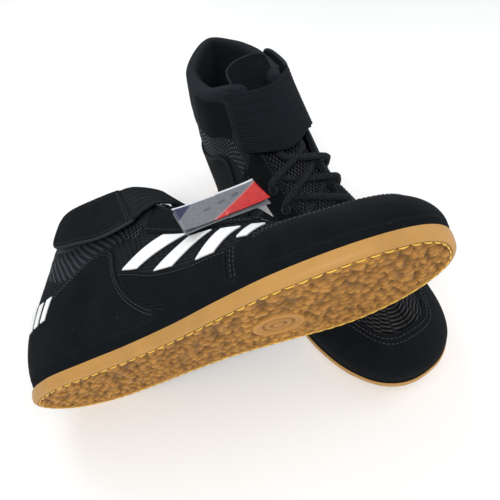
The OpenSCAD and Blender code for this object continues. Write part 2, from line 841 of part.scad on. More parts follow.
left_outsole();
left_sole_stitching();
left_insole_board();
left_sockliner();
left_vamp_mesh();
left_toe_cap();
left_toe_puff();
left_quarter_outer();
left_quarter_inner();
left_eyestay_outer();
left_eyestay_inner();
left_side_stripes();
left_side_overlays();
left_heel_counter();
left_heel_stiffener();
left_heel_mark();
left_ankle_mesh();
left_collar_knit();
left_collar_foam();
left_lining();
left_tongue();
left_tongue_top();
left_lace();
left_aglets();
left_strap_anchor();
left_strap_loop_pad();
left_strap_elastic();
left_strap_tab();
left_strap_hook();
right_outsole();
right_sole_stitching();
right_insole_board();
right_sockliner();
right_vamp_mesh();
right_toe_cap();
right_toe_puff();
right_quarter_outer();
right_quarter_inner();
right_eyestay_outer();
right_eyestay_inner();
right_side_stripes();
right_side_overlays();
right_heel_counter();
right_heel_stiffener();
right_heel_mark();
right_ankle_mesh();
right_collar_knit();
right_collar_foam();
right_lining();
right_tongue();
right_tongue_top();
right_lace();
right_aglets();
right_strap_anchor();
right_strap_loop_pad();
right_strap_elastic();
right_strap_tab();
right_strap_hook();
tag_front();
tag_back();
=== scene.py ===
import math
import bpy
import numpy as np
from mathutils import Matrix, Vector


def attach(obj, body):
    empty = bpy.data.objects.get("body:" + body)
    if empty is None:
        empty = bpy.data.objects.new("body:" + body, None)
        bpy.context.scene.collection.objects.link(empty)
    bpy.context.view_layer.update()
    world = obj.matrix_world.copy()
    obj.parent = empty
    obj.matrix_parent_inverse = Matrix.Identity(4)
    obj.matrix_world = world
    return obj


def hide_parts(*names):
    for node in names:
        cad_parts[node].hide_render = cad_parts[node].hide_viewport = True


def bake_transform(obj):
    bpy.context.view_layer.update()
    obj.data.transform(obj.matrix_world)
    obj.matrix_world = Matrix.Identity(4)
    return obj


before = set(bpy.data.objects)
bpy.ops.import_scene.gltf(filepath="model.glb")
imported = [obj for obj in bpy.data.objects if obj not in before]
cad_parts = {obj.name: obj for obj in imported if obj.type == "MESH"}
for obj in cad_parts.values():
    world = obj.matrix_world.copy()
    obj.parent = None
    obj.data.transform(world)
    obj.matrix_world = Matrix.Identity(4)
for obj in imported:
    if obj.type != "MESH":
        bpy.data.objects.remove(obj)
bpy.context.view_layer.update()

# A pair of boxing boots. Shapes are worked out in millimetres in a boot's own
# frame (toe +X, inner side +Y, up +Z, right boot) and placed in the row frame.

MM = 0.001
SIDES = ("left", "right")

# ---------------------------------------------------------------- placement
RIGHT_AT = (-233.4, -28.9, 18.1)
RIGHT_TILT = (-73.7, -20.1, -24.6)
LEFT_HEEL_Y = 140.0
LEAN = (-9.0, 17.0, -3.0)
LEAN_FROM, LEAN_OVER = 45.0, 105.0
TAG_AT = (-73.2, -29.8, 120.2)
TAG_TILT = (-7.6, 4.3, -3.6)


def turn(tilt):
    """Rotation about X, then Y, then Z, in degrees."""
    x, y, z = (math.radians(a) for a in tilt)
    m = Matrix.Rotation(z, 3, "Z") @ Matrix.Rotation(y, 3, "Y") @ Matrix.Rotation(x, 3, "X")
    return np.array(m)


def leaned(p):
    """The lying boot's soft shaft leans more and more from the instep to the collar."""
    k = np.clip((p[..., 2:] - LEAN_FROM) / LEAN_OVER, 0, 1)
    return p + np.array(LEAN) * k * k * (2 - k)


def place(side, p):
    """Boot-frame millimetres to row-frame metres."""
    p = np.asarray(p, float)
    if side == "left":
        return np.stack([-p[..., 1], LEFT_HEEL_Y - p[..., 0], p[..., 2]], -1) * MM
    if side == "tag":
        return (p @ turn(TAG_TILT).T + np.array(TAG_AT)) * MM
    return (leaned(p) @ turn(RIGHT_TILT).T + np.array(RIGHT_AT)) * MM


# ----------------------------------------------------------- lasted surface
# Stations from the toe tip to the heel: feather edge point, handle up from
# it, handle down from the top line, top line point.
OUTER_NET = np.array([
    [284, 3, 17, 7, 0, 15, 30, 0, 0, 238, 3, 52],
    [279, -16, 16, 5, -2, 15, 24, -14, -1, 236, 3, 52],
    [264, -31, 14, 3, -3, 16, 14, -21, -3, 230, 3, 53],
    [237, -42, 12, 0, -3, 18, 6, -24, -5, 218, 3, 56],
    [202, -46, 11, 0, -3, 23, 3, -25, -6, 200, 2, 62],
    [168, -42, 11, 0, -5, 28, 6, -20, -10, 172, -12, 75],
    [134, -36, 11, 0, -3, 32, 5, -13, -18, 144, -15, 93],
    [98, -33, 11, 0, -2, 36, 4, -13, -26, 120, -17, 118],
    [66, -33, 11, 0, -2, 40, 0, -12, -34, 106, -12, 148],
    [34, -32, 11, -2, -2, 44, 2, -7, -44, 76, -25, 142],
    [8, -20, 11, -13, -6, 36, 1, -6, -46, 38, -24, 144],
    [0, 0, 11, -20, 0, 34, -3, 0, -48, 12, 0, 149]], float)
INNER_NET = np.array([
    [284, 3, 17, 7, 0, 15, 30, 0, 0, 238, 3, 52],
    [281, 20, 16, 6, 3, 15, 24, 15, 0, 236, 3, 52],
    [268, 34, 14, 3, 5, 16, 14, 23, -1, 230, 3, 53],
    [243, 44, 12, 0, 6, 19, 6, 26, -3, 218, 3, 56],
    [207, 47, 11, 0, 4, 24, 3, 26, -5, 200, 2, 62],
    [170, 38, 11, 0, 3, 28, 6, 20, -10, 172, 14, 75],
    [134, 30, 11, 0, 2, 32, 8, 18, -16, 144, 17, 93],
    [98, 30, 11, 0, 2, 36, 8, 20, -24, 120, 18, 118],
    [66, 32, 11, 0, 2, 40, 2, 18, -34, 106, 19, 148],
    [34, 31, 11, -2, 2, 44, 2, 5, -44, 76, 36, 142],
    [9, 20, 11, -13, 6, 36, 1, 4, -46, 38, 32, 144],
    [0, 0, 11, -20, 0, 34, -3, 0, -48, 12, 0, 149]], float)
HEEL = 11
LAP = 22
NETS = np.stack([
    np.vstack([INNER_NET[1], OUTER_NET, INNER_NET[-2]]),
    np.vstack([OUTER_NET[1], INNER_NET, OUTER_NET[-2]])])


def last(v, t):
    """Surface point: v from -11 (heel, outer side) by 0 (toe) to 11 (heel, inner side), t from 0 at the
    feather edge to 1 at the top line."""
    v, t = np.broadcast_arrays(np.asarray(v, float), np.asarray(t, float))
    w = (v + HEEL) % LAP - HEEL
    net = NETS[(w >= 0).astype(int)]
    u = np.clip(np.abs(w), 0, HEEL - 1e-9)
    i = np.floor(u).astype(int)
    f = (u - i)[..., None]
    row = [np.take_along_axis(net, (i + k)[..., None, None], -2)[..., 0, :] for k in range(4)]
    r = 0.5 * (2 * row[1] + (row[2] - row[0]) * f + (2 * row[0] - 5 * row[1] + 4 * row[2] - row[3]) * f ** 2
               + (3 * row[1] - row[0] - 3 * row[2] + row[3]) * f ** 3)
    foot, top = r[..., 0:3], r[..., 9:12]
    a, b = foot + r[..., 3:6], top + r[..., 6:9]
    t = t[..., None]
    m = 1 - t
    return m ** 3 * foot + 3 * m * m * t * a + 3 * m * t * t * b + t ** 3 * top


STRAP_LOW = np.array([[38, -36, 106], [58, -37, 100], [82, -33.5, 96], [106, -31.5, 98],
                      [125, -22, 112], [137.5, 2, 112], [127, 26, 113], [109.5, 31.5, 113]], float)
STRAP_HIGH = np.array([[42, -33, 140], [56, -34, 141], [74, -31.5, 142], [90, -26, 145],
                       [102, -18.5, 148], [113, 2, 149], [107, 23, 150], [98, 30, 151]], float)


def along(points, s):
    """Smooth curve through points, s from 0 to 1."""
    points = np.asarray(points, float)
    n = len(points) - 1
    x = np.clip(np.asarray(s, float), -0.02, 1.02) * n
    i = np.clip(np.floor(x).astype(int), 0, n - 1)
    f = (x - i)[..., None]
    a, b = points[np.maximum(i - 1, 0)], points[i]
    c, d = points[i + 1], points[np.minimum(i + 2, n)]
    return 0.5 * (2 * b + (c - a) * f + (2 * a - 5 * b + 4 * c - d) * f ** 2 + (3 * b - a - 3 * c + d) * f ** 3)


def on(kind, a, b):
    """Point of a surface: round the foot, over the vamp, across the throat, or the strap."""
    a, b = np.broadcast_arrays(np.asarray(a, float), np.asarray(b, float))
    if kind == "round":
        return last(a, b)
    if kind == "vamp":
        return last(np.where(b < 0, -1, 1) * np.abs(a), 1 - np.abs(b))
    if kind == "throat":
        low, high = last(-np.abs(a), 1), last(np.abs(a), 1)
        return low + (high - low) * b[..., None]
    low, high = along(STRAP_LOW, a), along(STRAP_HIGH, a)
    return low + (high - low) * b[..., None]


def unit(v):
    return v / np.maximum(np.linalg.norm(v, axis=-1, keepdims=True), 1e-12)


def facing(kind, a, b, step=0.02):
    """Outward normal of a surface."""
    a, b = np.broadcast_arrays(np.asarray(a, float), np.asarray(b, float))
    da = on(kind, a + step, b) - on(kind, a - step, b)
    db = on(kind, a, b + step) - on(kind, a, b - step)
    return unit(np.cross(da, db))


def skin(kind, a, b, o):
    return on(kind, a, b) + facing(kind, a, b) * np.asarray(o, float)[..., None]


# --------------------------------------------------------------- mesh tools
def smooth_step(x):
    x = np.clip(x, 0, 1)
    return x * x * (3 - 2 * x)


def curve_through(points, x):
    """Smooth one-valued curve through (x, y) points."""
    p = np.array(points, float)
    m = np.gradient(p[:, 1], p[:, 0]) if len(p) > 2 else np.full(2, (p[1, 1] - p[0, 1]) / (p[1, 0] - p[0, 0]))
    i = np.clip(np.searchsorted(p[:, 0], x, side="right") - 1, 0, len(p) - 2)
    h = p[i + 1, 0] - p[i, 0]
    s = np.clip((x - p[i, 0]) / h, 0, 1)
    return ((2 * s ** 3 - 3 * s ** 2 + 1) * p[i, 1] + (s ** 3 - 2 * s ** 2 + s) * h * m[i]
            + (3 * s ** 2 - 2 * s ** 3) * p[i + 1, 1] + (s ** 3 - s ** 2) * h * m[i + 1])


def edge_curves(edge, a):
    """Lower and upper edge of a panel at a, from rows of (a, low, high)."""
    return curve_through([e[:2] for e in edge], a), curve_through([e[::2] for e in edge], a)


def lattice_hash(ix, iy, seed):
    """Repeatable numbers from 0 to 1 for whole-number cells."""
    h = np.sin(ix * 127.1 + iy * 311.7 + seed * 74.7) * 43758.5453
    return h - np.floor(h)


def value_noise(x, y, seed):
    ix, iy = np.floor(x), np.floor(y)
    fx, fy = smooth_step(x - ix), smooth_step(y - iy)
    low = lattice_hash(ix, iy, seed) * (1 - fx) + lattice_hash(ix + 1, iy, seed) * fx
    high = lattice_hash(ix, iy + 1, seed) * (1 - fx) + lattice_hash(ix + 1, iy + 1, seed) * fx
    return (low * (1 - fy) + high * fy) * 2 - 1


def rumple(x, y, seed):
    """Soft folds of cloth from -1 to 1, x and y in millimetres."""
    return 0.6 * value_noise(x / 24, y / 24, seed) + 0.4 * value_noise(x / 11, y / 11, seed + 5)


def arc(points):
    """Length along a polyline up to each of its points."""
    return np.concatenate([[0], np.cumsum(np.linalg.norm(np.diff(points, axis=0), axis=1))])


def at_lengths(where, run, points):
    return np.stack([np.interp(where, run, points[:, k]) for k in range(3)], -1)


def flat(*grids):
    return np.concatenate([g.reshape(-1, 3) for g in grids])


def pairs(u, v):
    """One row of cloth coordinates for each vertex of a grid."""
    return np.stack(np.broadcast_arrays(u, v), -1).reshape(-1, 2)


def circle(centre, across, up, r):
    a = np.linspace(0, 2 * np.pi, 40)[:, None]
    return centre + (across * np.cos(a) + up * np.sin(a)) * r


def link(name, mesh, mat):
    obj = bpy.data.objects.new(name, mesh)
    bpy.context.scene.collection.objects.link(obj)
    obj.data.materials.append(mat)
    return obj


def make_mesh(side, name, mat, points, faces, uv=None, rim=None):
    """Mesh object from points in a boot's frame. uv holds the millimetres along and across, and rim
    the millimetres to an edge. The left boot is mirrored, so its faces turn round."""
    faces = [tuple(f) for f in faces]
    if side == "left":
        faces = [f[::-1] for f in faces]
    mesh = bpy.data.meshes.new(f"{side}_{name}")
    mesh.from_pydata(place(side, points).tolist(), [], faces)
    mesh.validate()
    mesh.update()
    if uv is not None:
        index = np.zeros(len(mesh.loops), int)
        mesh.loops.foreach_get("vertex_index", index)
        layer = mesh.uv_layers.new(name="Cloth")
        layer.data.foreach_set("uv", (np.asarray(uv)[index] * UV_PER_MM).astype(np.float32).ravel())
    if rim is not None:
        mark = mesh.attributes.new("rim", "FLOAT", "POINT")
        mark.data.foreach_set("value", np.asarray(rim, np.float32))
    mesh.polygons.foreach_set("use_smooth", np.ones(len(mesh.polygons), bool))
    return link(f"{side}_{name}", mesh, mat)


def piece(side, name, slot, mat, points, faces, uv=None, rim=None, body=None, stands_for=()):
    """Mesh that rides on its body and stands for its CAD nodes; its slot is not used."""
    obj = make_mesh(side, name, mat, points, faces, uv, rim)
    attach(obj, body or f"{side}_boot")
    nodes = [f"{side}_{n}" for n in (stands_for or (name,)) if f"{side}_{n}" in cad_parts]
    if nodes:
        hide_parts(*nodes)
    return obj


def grid_faces(rows, cols, wrap=False):
    i, j = np.meshgrid(np.arange(rows if wrap else rows - 1), np.arange(cols - 1), indexing="ij")
    p = i * cols + j
    q = ((i + 1) % rows) * cols + j
    return np.stack([p, q, q + 1, p + 1], -1).reshape(-1, 4)


def shell_faces(rows, cols):
    """Faces of a closed shell whose outer grid comes first and whose inner grid follows."""
    n = rows * cols
    outer = grid_faces(rows, cols)
    ring = np.concatenate([np.arange(cols), np.arange(1, rows) * cols + cols - 1,
                           (rows - 1) * cols + np.arange(cols - 2, -1, -1), np.arange(rows - 2, 0, -1) * cols])
    after = np.roll(ring, -1)
    return np.concatenate([outer, outer[:, ::-1] + n, np.stack([ring, after, after + n, ring + n], -1)])


def pipe_faces(rows, cols):
    """Quads of a pipe made of rings of cols vertices, and its two caps."""
    i, j = np.meshgrid(np.arange(rows - 1), np.arange(cols), indexing="ij")
    k = (j + 1) % cols
    quads = np.stack([i * cols + j, i * cols + k, (i + 1) * cols + k, (i + 1) * cols + j], -1).reshape(-1, 4)
    first = np.arange(cols)
    return quads, [first[::-1], first + (rows - 1) * cols]


UV_PER_MM = 0.01
EDGE_STEPS = np.array([0, 0.12, 0.35, 0.75, 1.3, 2.0, 2.7, 3.4])


def edge_lattice(length, pitch):
    """Share of a length for each row of cells, closer together at the two ends."""
    n = max(3, int(np.ceil((np.max(length) - 7) / pitch)))
    inner = np.linspace(0, 1, n + 1)[1:-1]
    length = np.maximum(np.asarray(length, float), 2.2 * EDGE_STEPS[-1])[..., None]
    low = EDGE_STEPS / length
    high = 1 - low[..., ::-1]
    middle = low[..., -1:] + (high[..., :1] - low[..., -1:]) * inner
    return np.concatenate([low, middle, high], -1)


def panel_grid(kind, edge, pitch):
    """Surface coordinates over an outline, with millimetres along, across and to the nearest edge."""
    fine = np.linspace(edge[0][0], edge[-1][0], 241)
    run = arc(on(kind, fine, sum(edge_curves(edge, fine)) / 2))
    share = edge_lattice(run[-1], pitch)
    a = np.interp(share * run[-1], run, fine)
    lo, hi = edge_curves(edge, a)
    sample = np.linspace(0, 1, 25)
    across = on(kind, a[:, None] + 0 * sample, lo[:, None] + (hi - lo)[:, None] * sample)
    steps = np.linalg.norm(np.diff(across, axis=1), axis=2)
    length = steps.sum(1)
    run_b = np.concatenate([np.zeros((len(a), 1)), np.cumsum(steps, 1)], 1)
    fr = edge_lattice(length, pitch)
    bs = np.stack([np.interp(fr[k] * length[k], run_b[k], sample) for k in range(len(a))])
    b = lo[:, None] + (hi - lo)[:, None] * bs
    aa = np.broadcast_to(a[:, None], b.shape)
    mm_a = np.broadcast_to((share * run[-1])[:, None], b.shape)
    mm_b = fr * length[:, None]
    rim = np.minimum(np.minimum(mm_b, length[:, None] - mm_b), np.minimum(mm_a, run[-1] - mm_a))
    return aa, b, mm_a, (fr - 0.5) * length[:, None], np.maximum(rim, 0)


SEAM_IN = 2.1
SEAM_DIP = 0.22


def panel(side, name, slot, mat, kind, edge, o_in, o_out, pitch=2.2, relief=None, seam=SEAM_IN,
          round_r=0.6, body=None, stands_for=()):
    """Sewn panel as a closed shell with rounded edges and the dip that its edge stitching pulls in."""
    a, b, ua, ub, rim = panel_grid(kind, edge, pitch)
    if kind == "round" and a.mean() > 0:
        ua = ua.max() - ua
    base, n = on(kind, a, b), facing(kind, a, b)
    low, top = (o(a, b) if callable(o) else float(o) for o in (o_in, o_out))
    mid = (low + top) / 2
    r = np.minimum(round_r, (top - low) / 2)
    drop = 0.9 * (1 - np.sqrt(1 - (1 - np.clip(rim / round_r, 0.02, 1)) ** 2))
    top = mid + (top - mid) * (1 - drop * np.clip(r / round_r, 0, 1))
    low = mid + (low - mid) * (1 - drop)
    if seam:
        top = top - SEAM_DIP * np.exp(-((rim - seam) / 0.55) ** 2)
    if relief is not None:
        top = top + relief(a, b, ua, ub) * smooth_step(rim / 2.5)
    uv = pairs(ua, ub)
    return piece(side, name, slot, mat, flat(base + n * top[..., None], base + n * low[..., None]),
                 shell_faces(*a.shape), np.concatenate([uv, uv]), np.tile(rim.ravel(), 2), body, stands_for)


# Station, girth and height of a thread's rings, as shares of its length and radius.
THREAD_RINGS = np.array([[-0.5, 0.15, -0.9], [-0.42, 0.7, -0.25], [-0.25, 0.95, 0.15], [0, 1.0, 0.3],
                         [0.25, 0.95, 0.15], [0.42, 0.7, -0.25], [0.5, 0.15, -0.9]])


def threads(points, dirs, normals, length, r, sides=6):
    """Vertices and faces of small rounded threads laid along dirs."""
    across = unit(np.cross(normals, dirs))
    station, girth, sink = (THREAD_RINGS * (length, r, r)).T[:, None, :, None, None]
    ang = (np.arange(sides) / sides * 2 * np.pi)[:, None]
    up, out = normals[:, None, None, :], across[:, None, None, :]
    v = (points[:, None, None, :] + dirs[:, None, None, :] * station
         + up * (sink + girth * np.sin(ang)) + out * (girth * np.cos(ang)))
    quads, caps = pipe_faces(len(THREAD_RINGS), sides)
    one = quads.tolist() + [c.tolist() for c in caps]
    step = len(THREAD_RINGS) * sides
    return v.reshape(-1, 3), [[i + c * step for i in f] for c in range(len(points)) for f in one]


def stitching(side, name, lines, mat, body=None, pitch=2.7, length=2.1, r=0.33):
    """Thread along several seam lines, each (points, normals) in the boot frame."""
    verts, faces, count = [], [], 0
    for pts, nrm in lines:
        run = arc(pts)
        n = max(2, int(run[-1] / pitch))
        where = (np.arange(n) + 0.5) * run[-1] / n
        p = at_lengths(where, run, pts)
        d = unit(at_lengths(where + 0.2, run, pts) - p)
        near = ((p[:, None, :] - pts[None, :, :]) ** 2).sum(-1).argmin(1)
        v, f = threads(p, d, nrm[near], length, r)
        verts.append(v)
        faces += [[i + count for i in face] for face in f]
        count += len(v)
    return piece(side, name, "thread", mat, np.concatenate(verts), faces, body=body)


def line_on(kind, a, b, o):
    return skin(kind, a, b, o), facing(kind, a, b)


def seam_line(kind, edge, which, inset, o, a0=None, a1=None):
    """Line a few millimetres inside one edge of a panel, with its normals."""
    a = np.linspace(edge[0][0] if a0 is None else a0, edge[-1][0] if a1 is None else a1, 400)
    lo, hi = edge_curves(edge, a)
    share = inset / np.maximum(np.linalg.norm(on(kind, a, hi) - on(kind, a, lo), axis=1), 1)
    return line_on(kind, a, hi - (hi - lo) * share if which == "high" else lo + (hi - lo) * share, o)


def end_line(kind, a, b0, b1, o):
    return line_on(kind, a, np.linspace(b0, b1, 60), o)


def tube(points, r, sides=16, wave=None):
    """Vertices, faces and cord coordinates of a closed tube; its frame is carried along so that it never flips."""
    n = len(points)
    d = unit(np.gradient(points, axis=0))
    up = np.zeros_like(points)
    u = np.array([0.3, 0.5, 0.8])
    for k in range(n):
        u = u - d[k] * (u @ d[k])
        u = u / np.linalg.norm(u)
        up[k] = u
    ang = np.arange(sides) / sides * 2 * np.pi
    run = arc(points)
    rr = np.broadcast_to(np.reshape(np.asarray(r, float), (-1, 1)), (n, sides))
    if wave is not None:
        rr = rr * wave(run[:, None], ang[None, :])
    v = points[:, None, :] + (up[:, None, :] * np.cos(ang)[None, :, None]
                              + np.cross(d, up)[:, None, :] * np.sin(ang)[None, :, None]) * rr[..., None]
    quads, caps = pipe_faces(n, sides)
    return v.reshape(-1, 3), [*quads.tolist(), *caps], pairs(run[:, None], ang * np.mean(rr))


def smooth_path(points, pitch):
    """Smooth path through points, resampled."""
    points = np.asarray(points, float)
    fine = along(points, np.linspace(0, 1, len(points) * 24))
    run = arc(fine)
    return at_lengths(np.linspace(0, run[-1], int(run[-1] / pitch) + 2), run, fine)


# ---------------------------------------------------------------- materials
COOL = (0.62, 0.66, 0.74, 1)
TURN = 2 * math.pi


class Signal:
    """Output of a shader node that takes plain arithmetic."""

    def __init__(self, nodes, socket):
        self.nodes, self.socket = nodes, socket

    def __rsub__(self, other):
        return self.nodes.math("SUBTRACT", other, self)


def operator(op):
    return lambda self, *other: self.nodes.math(op, self, *other)


for method, op in (("__add__", "ADD"), ("__sub__", "SUBTRACT"), ("__mul__", "MULTIPLY"), ("__abs__", "ABSOLUTE"),
                   ("__gt__", "GREATER_THAN"), ("__lt__", "LESS_THAN")):
    setattr(Signal, method, operator(op))


class Nodes:
    """Short calls for building one material's node tree."""

    def __init__(self, name):
        self.mat = bpy.data.materials.new(name)
        self.mat.use_nodes = True
        self.tree = self.mat.node_tree
        self.tree.nodes.clear()
        out = self.tree.nodes.new("ShaderNodeOutputMaterial")
        self.bsdf = self.tree.nodes.new("ShaderNodeBsdfPrincipled")
        self.tree.links.new(self.bsdf.outputs[0], out.inputs[0])

    def put(self, socket, value):
        if isinstance(value, Signal):
            self.tree.links.new(value.socket, socket)
        else:
            socket.default_value = (*value, 1) if socket.type == "RGBA" and len(value) == 3 else value

    def add(self, kind, inputs, output=0, **options):
        """Adds a node with its options and inputs, and gives back one of its outputs."""
        n = self.tree.nodes.new("ShaderNode" + kind)
        for key, value in options.items():
            setattr(n, key, value)
        for key, value in inputs.items():
            self.put(n.inputs[key], value)
        return Signal(self, n.outputs[output])

    def math(self, op, *values):
        return self.add("Math", dict(enumerate(values)), operation=op)

    def sin(self, value):
        return self.math("SINE", value)

    def objco(self):
        return self.add("TexCoord", {}, "Object")

    def cloth(self):
        """Millimetres along and across the piece."""
        uv = self.add("UVMap", {}, uv_map="Cloth")
        scaled = self.add("VectorMath", {0: uv, "Scale": 1 / UV_PER_MM}, operation="SCALE")
        split = self.add("SeparateXYZ", {0: scaled}).socket.node
        return Signal(self, split.outputs[0]), Signal(self, split.outputs[1])

    def rim(self):
        return self.add("Attribute", {}, "Fac", attribute_name="rim")

    def noise(self, scale, detail=3.0, rough=0.55, distortion=0.0):
        return self.add("TexNoise", {"Scale": scale, "Detail": detail, "Roughness": rough,
                                     "Distortion": distortion, "Vector": self.objco()}, "Fac")

    def ramp(self, fac, *stops):
        out = self.add("ValToRGB", {0: fac})
        elements = out.socket.node.color_ramp.elements
        while len(elements) < len(stops):
            elements.new(0.5)
        for e, (where, colour) in zip(elements, stops):
            e.position = where
            e.color = (*colour, 1) if isinstance(colour, tuple) else (colour, colour, colour, 1)
        return out

    def over(self, colour, *layers):
        """Mixes tints over a colour, each by its own share."""
        for share, tint in layers:
            colour = self.add("Mix", {0: share, 6: colour, 7: tint}, 2, data_type="RGBA")
        return colour

    def bump(self, height, strength, distance, after=None):
        before = {} if after is None else {"Normal": after}
        return self.add("Bump", {"Strength": strength, "Distance": distance, "Height": height, **before})

    def finish(self, colour, rough, normal=None, **fixed):
        before = {} if normal is None else {"Normal": normal}
        for name, value in {"Base Color": colour, "Roughness": rough, **before, **fixed}.items():
            self.put(self.bsdf.inputs[name.replace("_", " ")], value)
        return self.mat

    def cloth_finish(self, colour, rough, normal, sheen, sheen_rough, specular):
        """Finish of black cloth: a cool sheen and little gloss."""
        return self.finish(colour, rough, normal, Sheen_Weight=sheen, Sheen_Roughness=sheen_rough,
                           Specular_IOR_Level=specular, Sheen_Tint=COOL)


def times(colour, k):
    return tuple(min(1, c * k) for c in colour)


def suede(name, dark, pale, sheen=0.02):
    """Brushed suede: fibrous grain, patches where the nap lies the other way, edges rubbed paler."""
    n = Nodes(name)
    fibre, nap, patch = n.noise(1700, 4, 0.7), n.noise(28, 4, 0.6, 0.8), n.noise(85)
    worn = 1.0 - n.math("MINIMUM", n.rim(), 1.0)
    specks = n.noise(420, 2, 0.5) > 0.735
    colour = n.over(n.ramp(nap * 0.6 + patch * 0.4, (0.36, dark), (0.66, pale)), (fibre * 0.5, times(pale, 1.5)),
                    (worn * 0.35, times(pale, 3.2)), (specks * 0.3, (0.07, 0.075, 0.085)))
    normal = n.bump(patch, 0.25, 0.0015, n.bump(fibre, 0.55, 0.0006))
    return n.cloth_finish(colour, n.ramp(nap, (0.3, 0.82), (0.7, 0.95)), normal, sheen, 0.45, 0.04)


def open_mesh(name, pitch, dark, pale, hole, aspect=1.05):
    """Knitted mesh: staggered rows of small holes between raised threads, with a painted highlight on the threads
    and painted shade in the holes.
    """
    n = Nodes(name)
    u, v = n.cloth()
    u = (u + (n.noise(60, 2, 0.5) - 0.5) * (pitch * 0.35)) * (math.pi / pitch)
    v = v * (math.pi / pitch / aspect)
    pore = n.math("MAXIMUM", *(abs(n.math(op, u)) * abs(n.math(op, v)) for op in ("SINE", "COSINE")))
    grain = n.noise(900, 3, 0.6)
    # Painted highlight: the raised threads are lightened where they would catch the light.
    knot_highlight = n.ramp(pore, (0.5, 1.0), (0.58, 0.0))
    # Painted shade: the holes are painted near-black, darker than the threads' own black, as if deep in shade.
    depth = n.ramp(pore, (0.56, 0.0), (0.74, 1.0))
    colour = n.over(dark, (grain, pale), (knot_highlight * 0.8, times(pale, 2.6)), (depth, hole))
    normal = n.bump(grain * 0.2 - pore, 1.0, 0.0011)
    return n.cloth_finish(colour, n.ramp(pore, (0.2, 0.5), (0.8, 0.95)), normal, 0.01, 0.4, 0.15)


def knit(name, dark, pale, course=1.0, wale=1.3, sheen=0.04):
    """Fine knit: interlocking loops in courses and wales."""
    n = Nodes(name)
    u, v = n.cloth()
    lean = n.sin(u * (TURN / wale)) * (0.35 * course)
    loop = n.sin((v + lean) * (TURN / course))
    stitch = (loop * 0.5 + 0.5) * abs(n.sin(u * (math.pi / wale)))
    tone = stitch * 0.65 + n.noise(40, 3, 0.5) * 0.35
    normal = n.bump(stitch + n.noise(1200, 3, 0.6) * 0.3, 0.75, 0.0007)
    return n.cloth_finish(n.ramp(tone, (0.15, dark), (0.8, pale)), 0.88, normal, sheen, 0.4, 0.12)


def ribbed(name, dark, pale, pitch):
    """Woven cloth with ribs along the piece."""
    n = Nodes(name)
    u, v = n.cloth()
    rib = n.sin(v * (TURN / pitch))
    weave = rib * 0.7 + rib * n.sin(u * (TURN / (pitch * 0.55))) * 0.3
    tone = (weave + 1.0) * 0.33 + n.noise(35, 3, 0.5) * 0.34
    normal = n.bump(weave + n.noise(1100, 3, 0.6) * 0.4, 0.6, 0.0006)
    return n.cloth_finish(n.ramp(tone, (0.2, dark), (0.85, pale)), 0.75, normal, 0.01, 0.35, 0.08)


def gum(name, deep, pale, grain):
    """Gum rubber: cloudy amber with scuffs, painted shade in the low places and a painted highlight on the crests;
    rim is 1 on the crests and 0 in the lowest places.
    """
    n = Nodes(name)
    cloud, fine, height = n.noise(22, 4, 0.6, 0.6), n.noise(380, 4, 0.65), n.rim()
    # Painted shade: the lowest places of the tread are darkened by height alone.
    hollow_shade = n.ramp(height, (0.0, 1.0), (0.45, 0.55), (0.85, 0.0))
    # Painted highlight: the crests of the tread are lightened by height alone.
    crest_highlight = n.ramp(height, (0.8, 0.0), (1.0, 1.0))
    scuff = n.ramp(n.noise(60, 6, 0.75, 1.2), (0.62, 0.0), (0.72, 1.0))
    colour = n.over(n.ramp(cloud, (0.3, deep), (0.72, pale)), (fine * 0.3, times(pale, 1.25)),
                    (hollow_shade * 0.9, times(deep, 0.34)), (crest_highlight * 0.35, times(pale, 1.3)),
                    (scuff * 0.18, (0.50, 0.38, 0.22)))
    return n.finish(colour, n.ramp(cloud, (0.3, 0.42), (0.7, 0.58)), n.bump(fine, grain, 0.0005),
                    Specular_IOR_Level=0.22, Subsurface_Weight=0.06, Subsurface_Scale=0.003,
                    Coat_Weight=0.03, Coat_Roughness=0.35, Subsurface_Radius=(1.0, 0.5, 0.2))


def plain(name, dark, pale, rough, scale=300, strength=0.3, **fixed):
    """Thread, tape and board: mottled colour and a fine grain."""
    n = Nodes(name)
    colour = n.ramp(n.noise(scale, 4, 0.6), (0.3, dark), (0.7, pale))
    return n.finish(colour, rough, n.bump(n.noise(scale * 6, 2, 0.6), strength, 0.0004), **fixed)


def white_trim(name):
    """Smooth white synthetic with a pebbled grain, turning faintly grey towards its edges."""
    n = Nodes(name)
    pores = n.add("TexVoronoi", {"Scale": 900, "Vector": n.objco()}, "Distance", feature="F1")
    edge = 1.0 - n.math("MINIMUM", n.rim() * 1.6, 1.0)
    colour = n.over(n.ramp(n.noise(70, 5, 0.7), (0.3, (0.72, 0.74, 0.76)), (0.6, (0.86, 0.87, 0.88))),
                    (edge * 0.35, (0.45, 0.46, 0.48)))
    return n.finish(colour, 0.42, n.bump(pores, 0.25, 0.0003), Specular_IOR_Level=0.5)


def card(name, printed):
    """Coated grey card; the printed leaf has plain fields of colour, a white strip and three dashes."""
    n = Nodes(name)
    u, v = n.cloth()
    colour = n.ramp(n.noise(500, 4, 0.6), (0.3, (0.11, 0.12, 0.135)), (0.7, (0.17, 0.18, 0.20)))
    if printed:
        slope = u * 0.65 - v
        red = n.ramp(n.noise(300, 3, 0.5), (0.3, (0.42, 0.018, 0.02)), (0.7, (0.54, 0.035, 0.033)))
        bar = (abs(v - u * 0.25 + 5.2) < 1.5) * ((u > 16.5) * (u < 43.5))
        dash = n.sin((u - 16.6) * 0.61) > 0.1
        colour = n.over(colour, (slope > 27.0, red),
                        ((slope > 25.6) * (slope < 27.0) * 0.8, (0.45, 0.16, 0.17)),
                        (v - u * 1.2 > -3.0, (0.008, 0.014, 0.06)),
                        (bar * dash * 0.8, (0.06, 0.07, 0.10)), (v > 11.6, (0.62, 0.64, 0.68)))
    normal = n.bump(n.noise(900, 3, 0.6), 0.08, 0.0002)
    return n.finish(colour, 0.32, normal, Specular_IOR_Level=0.3, Coat_Weight=0.1, Coat_Roughness=0.15)


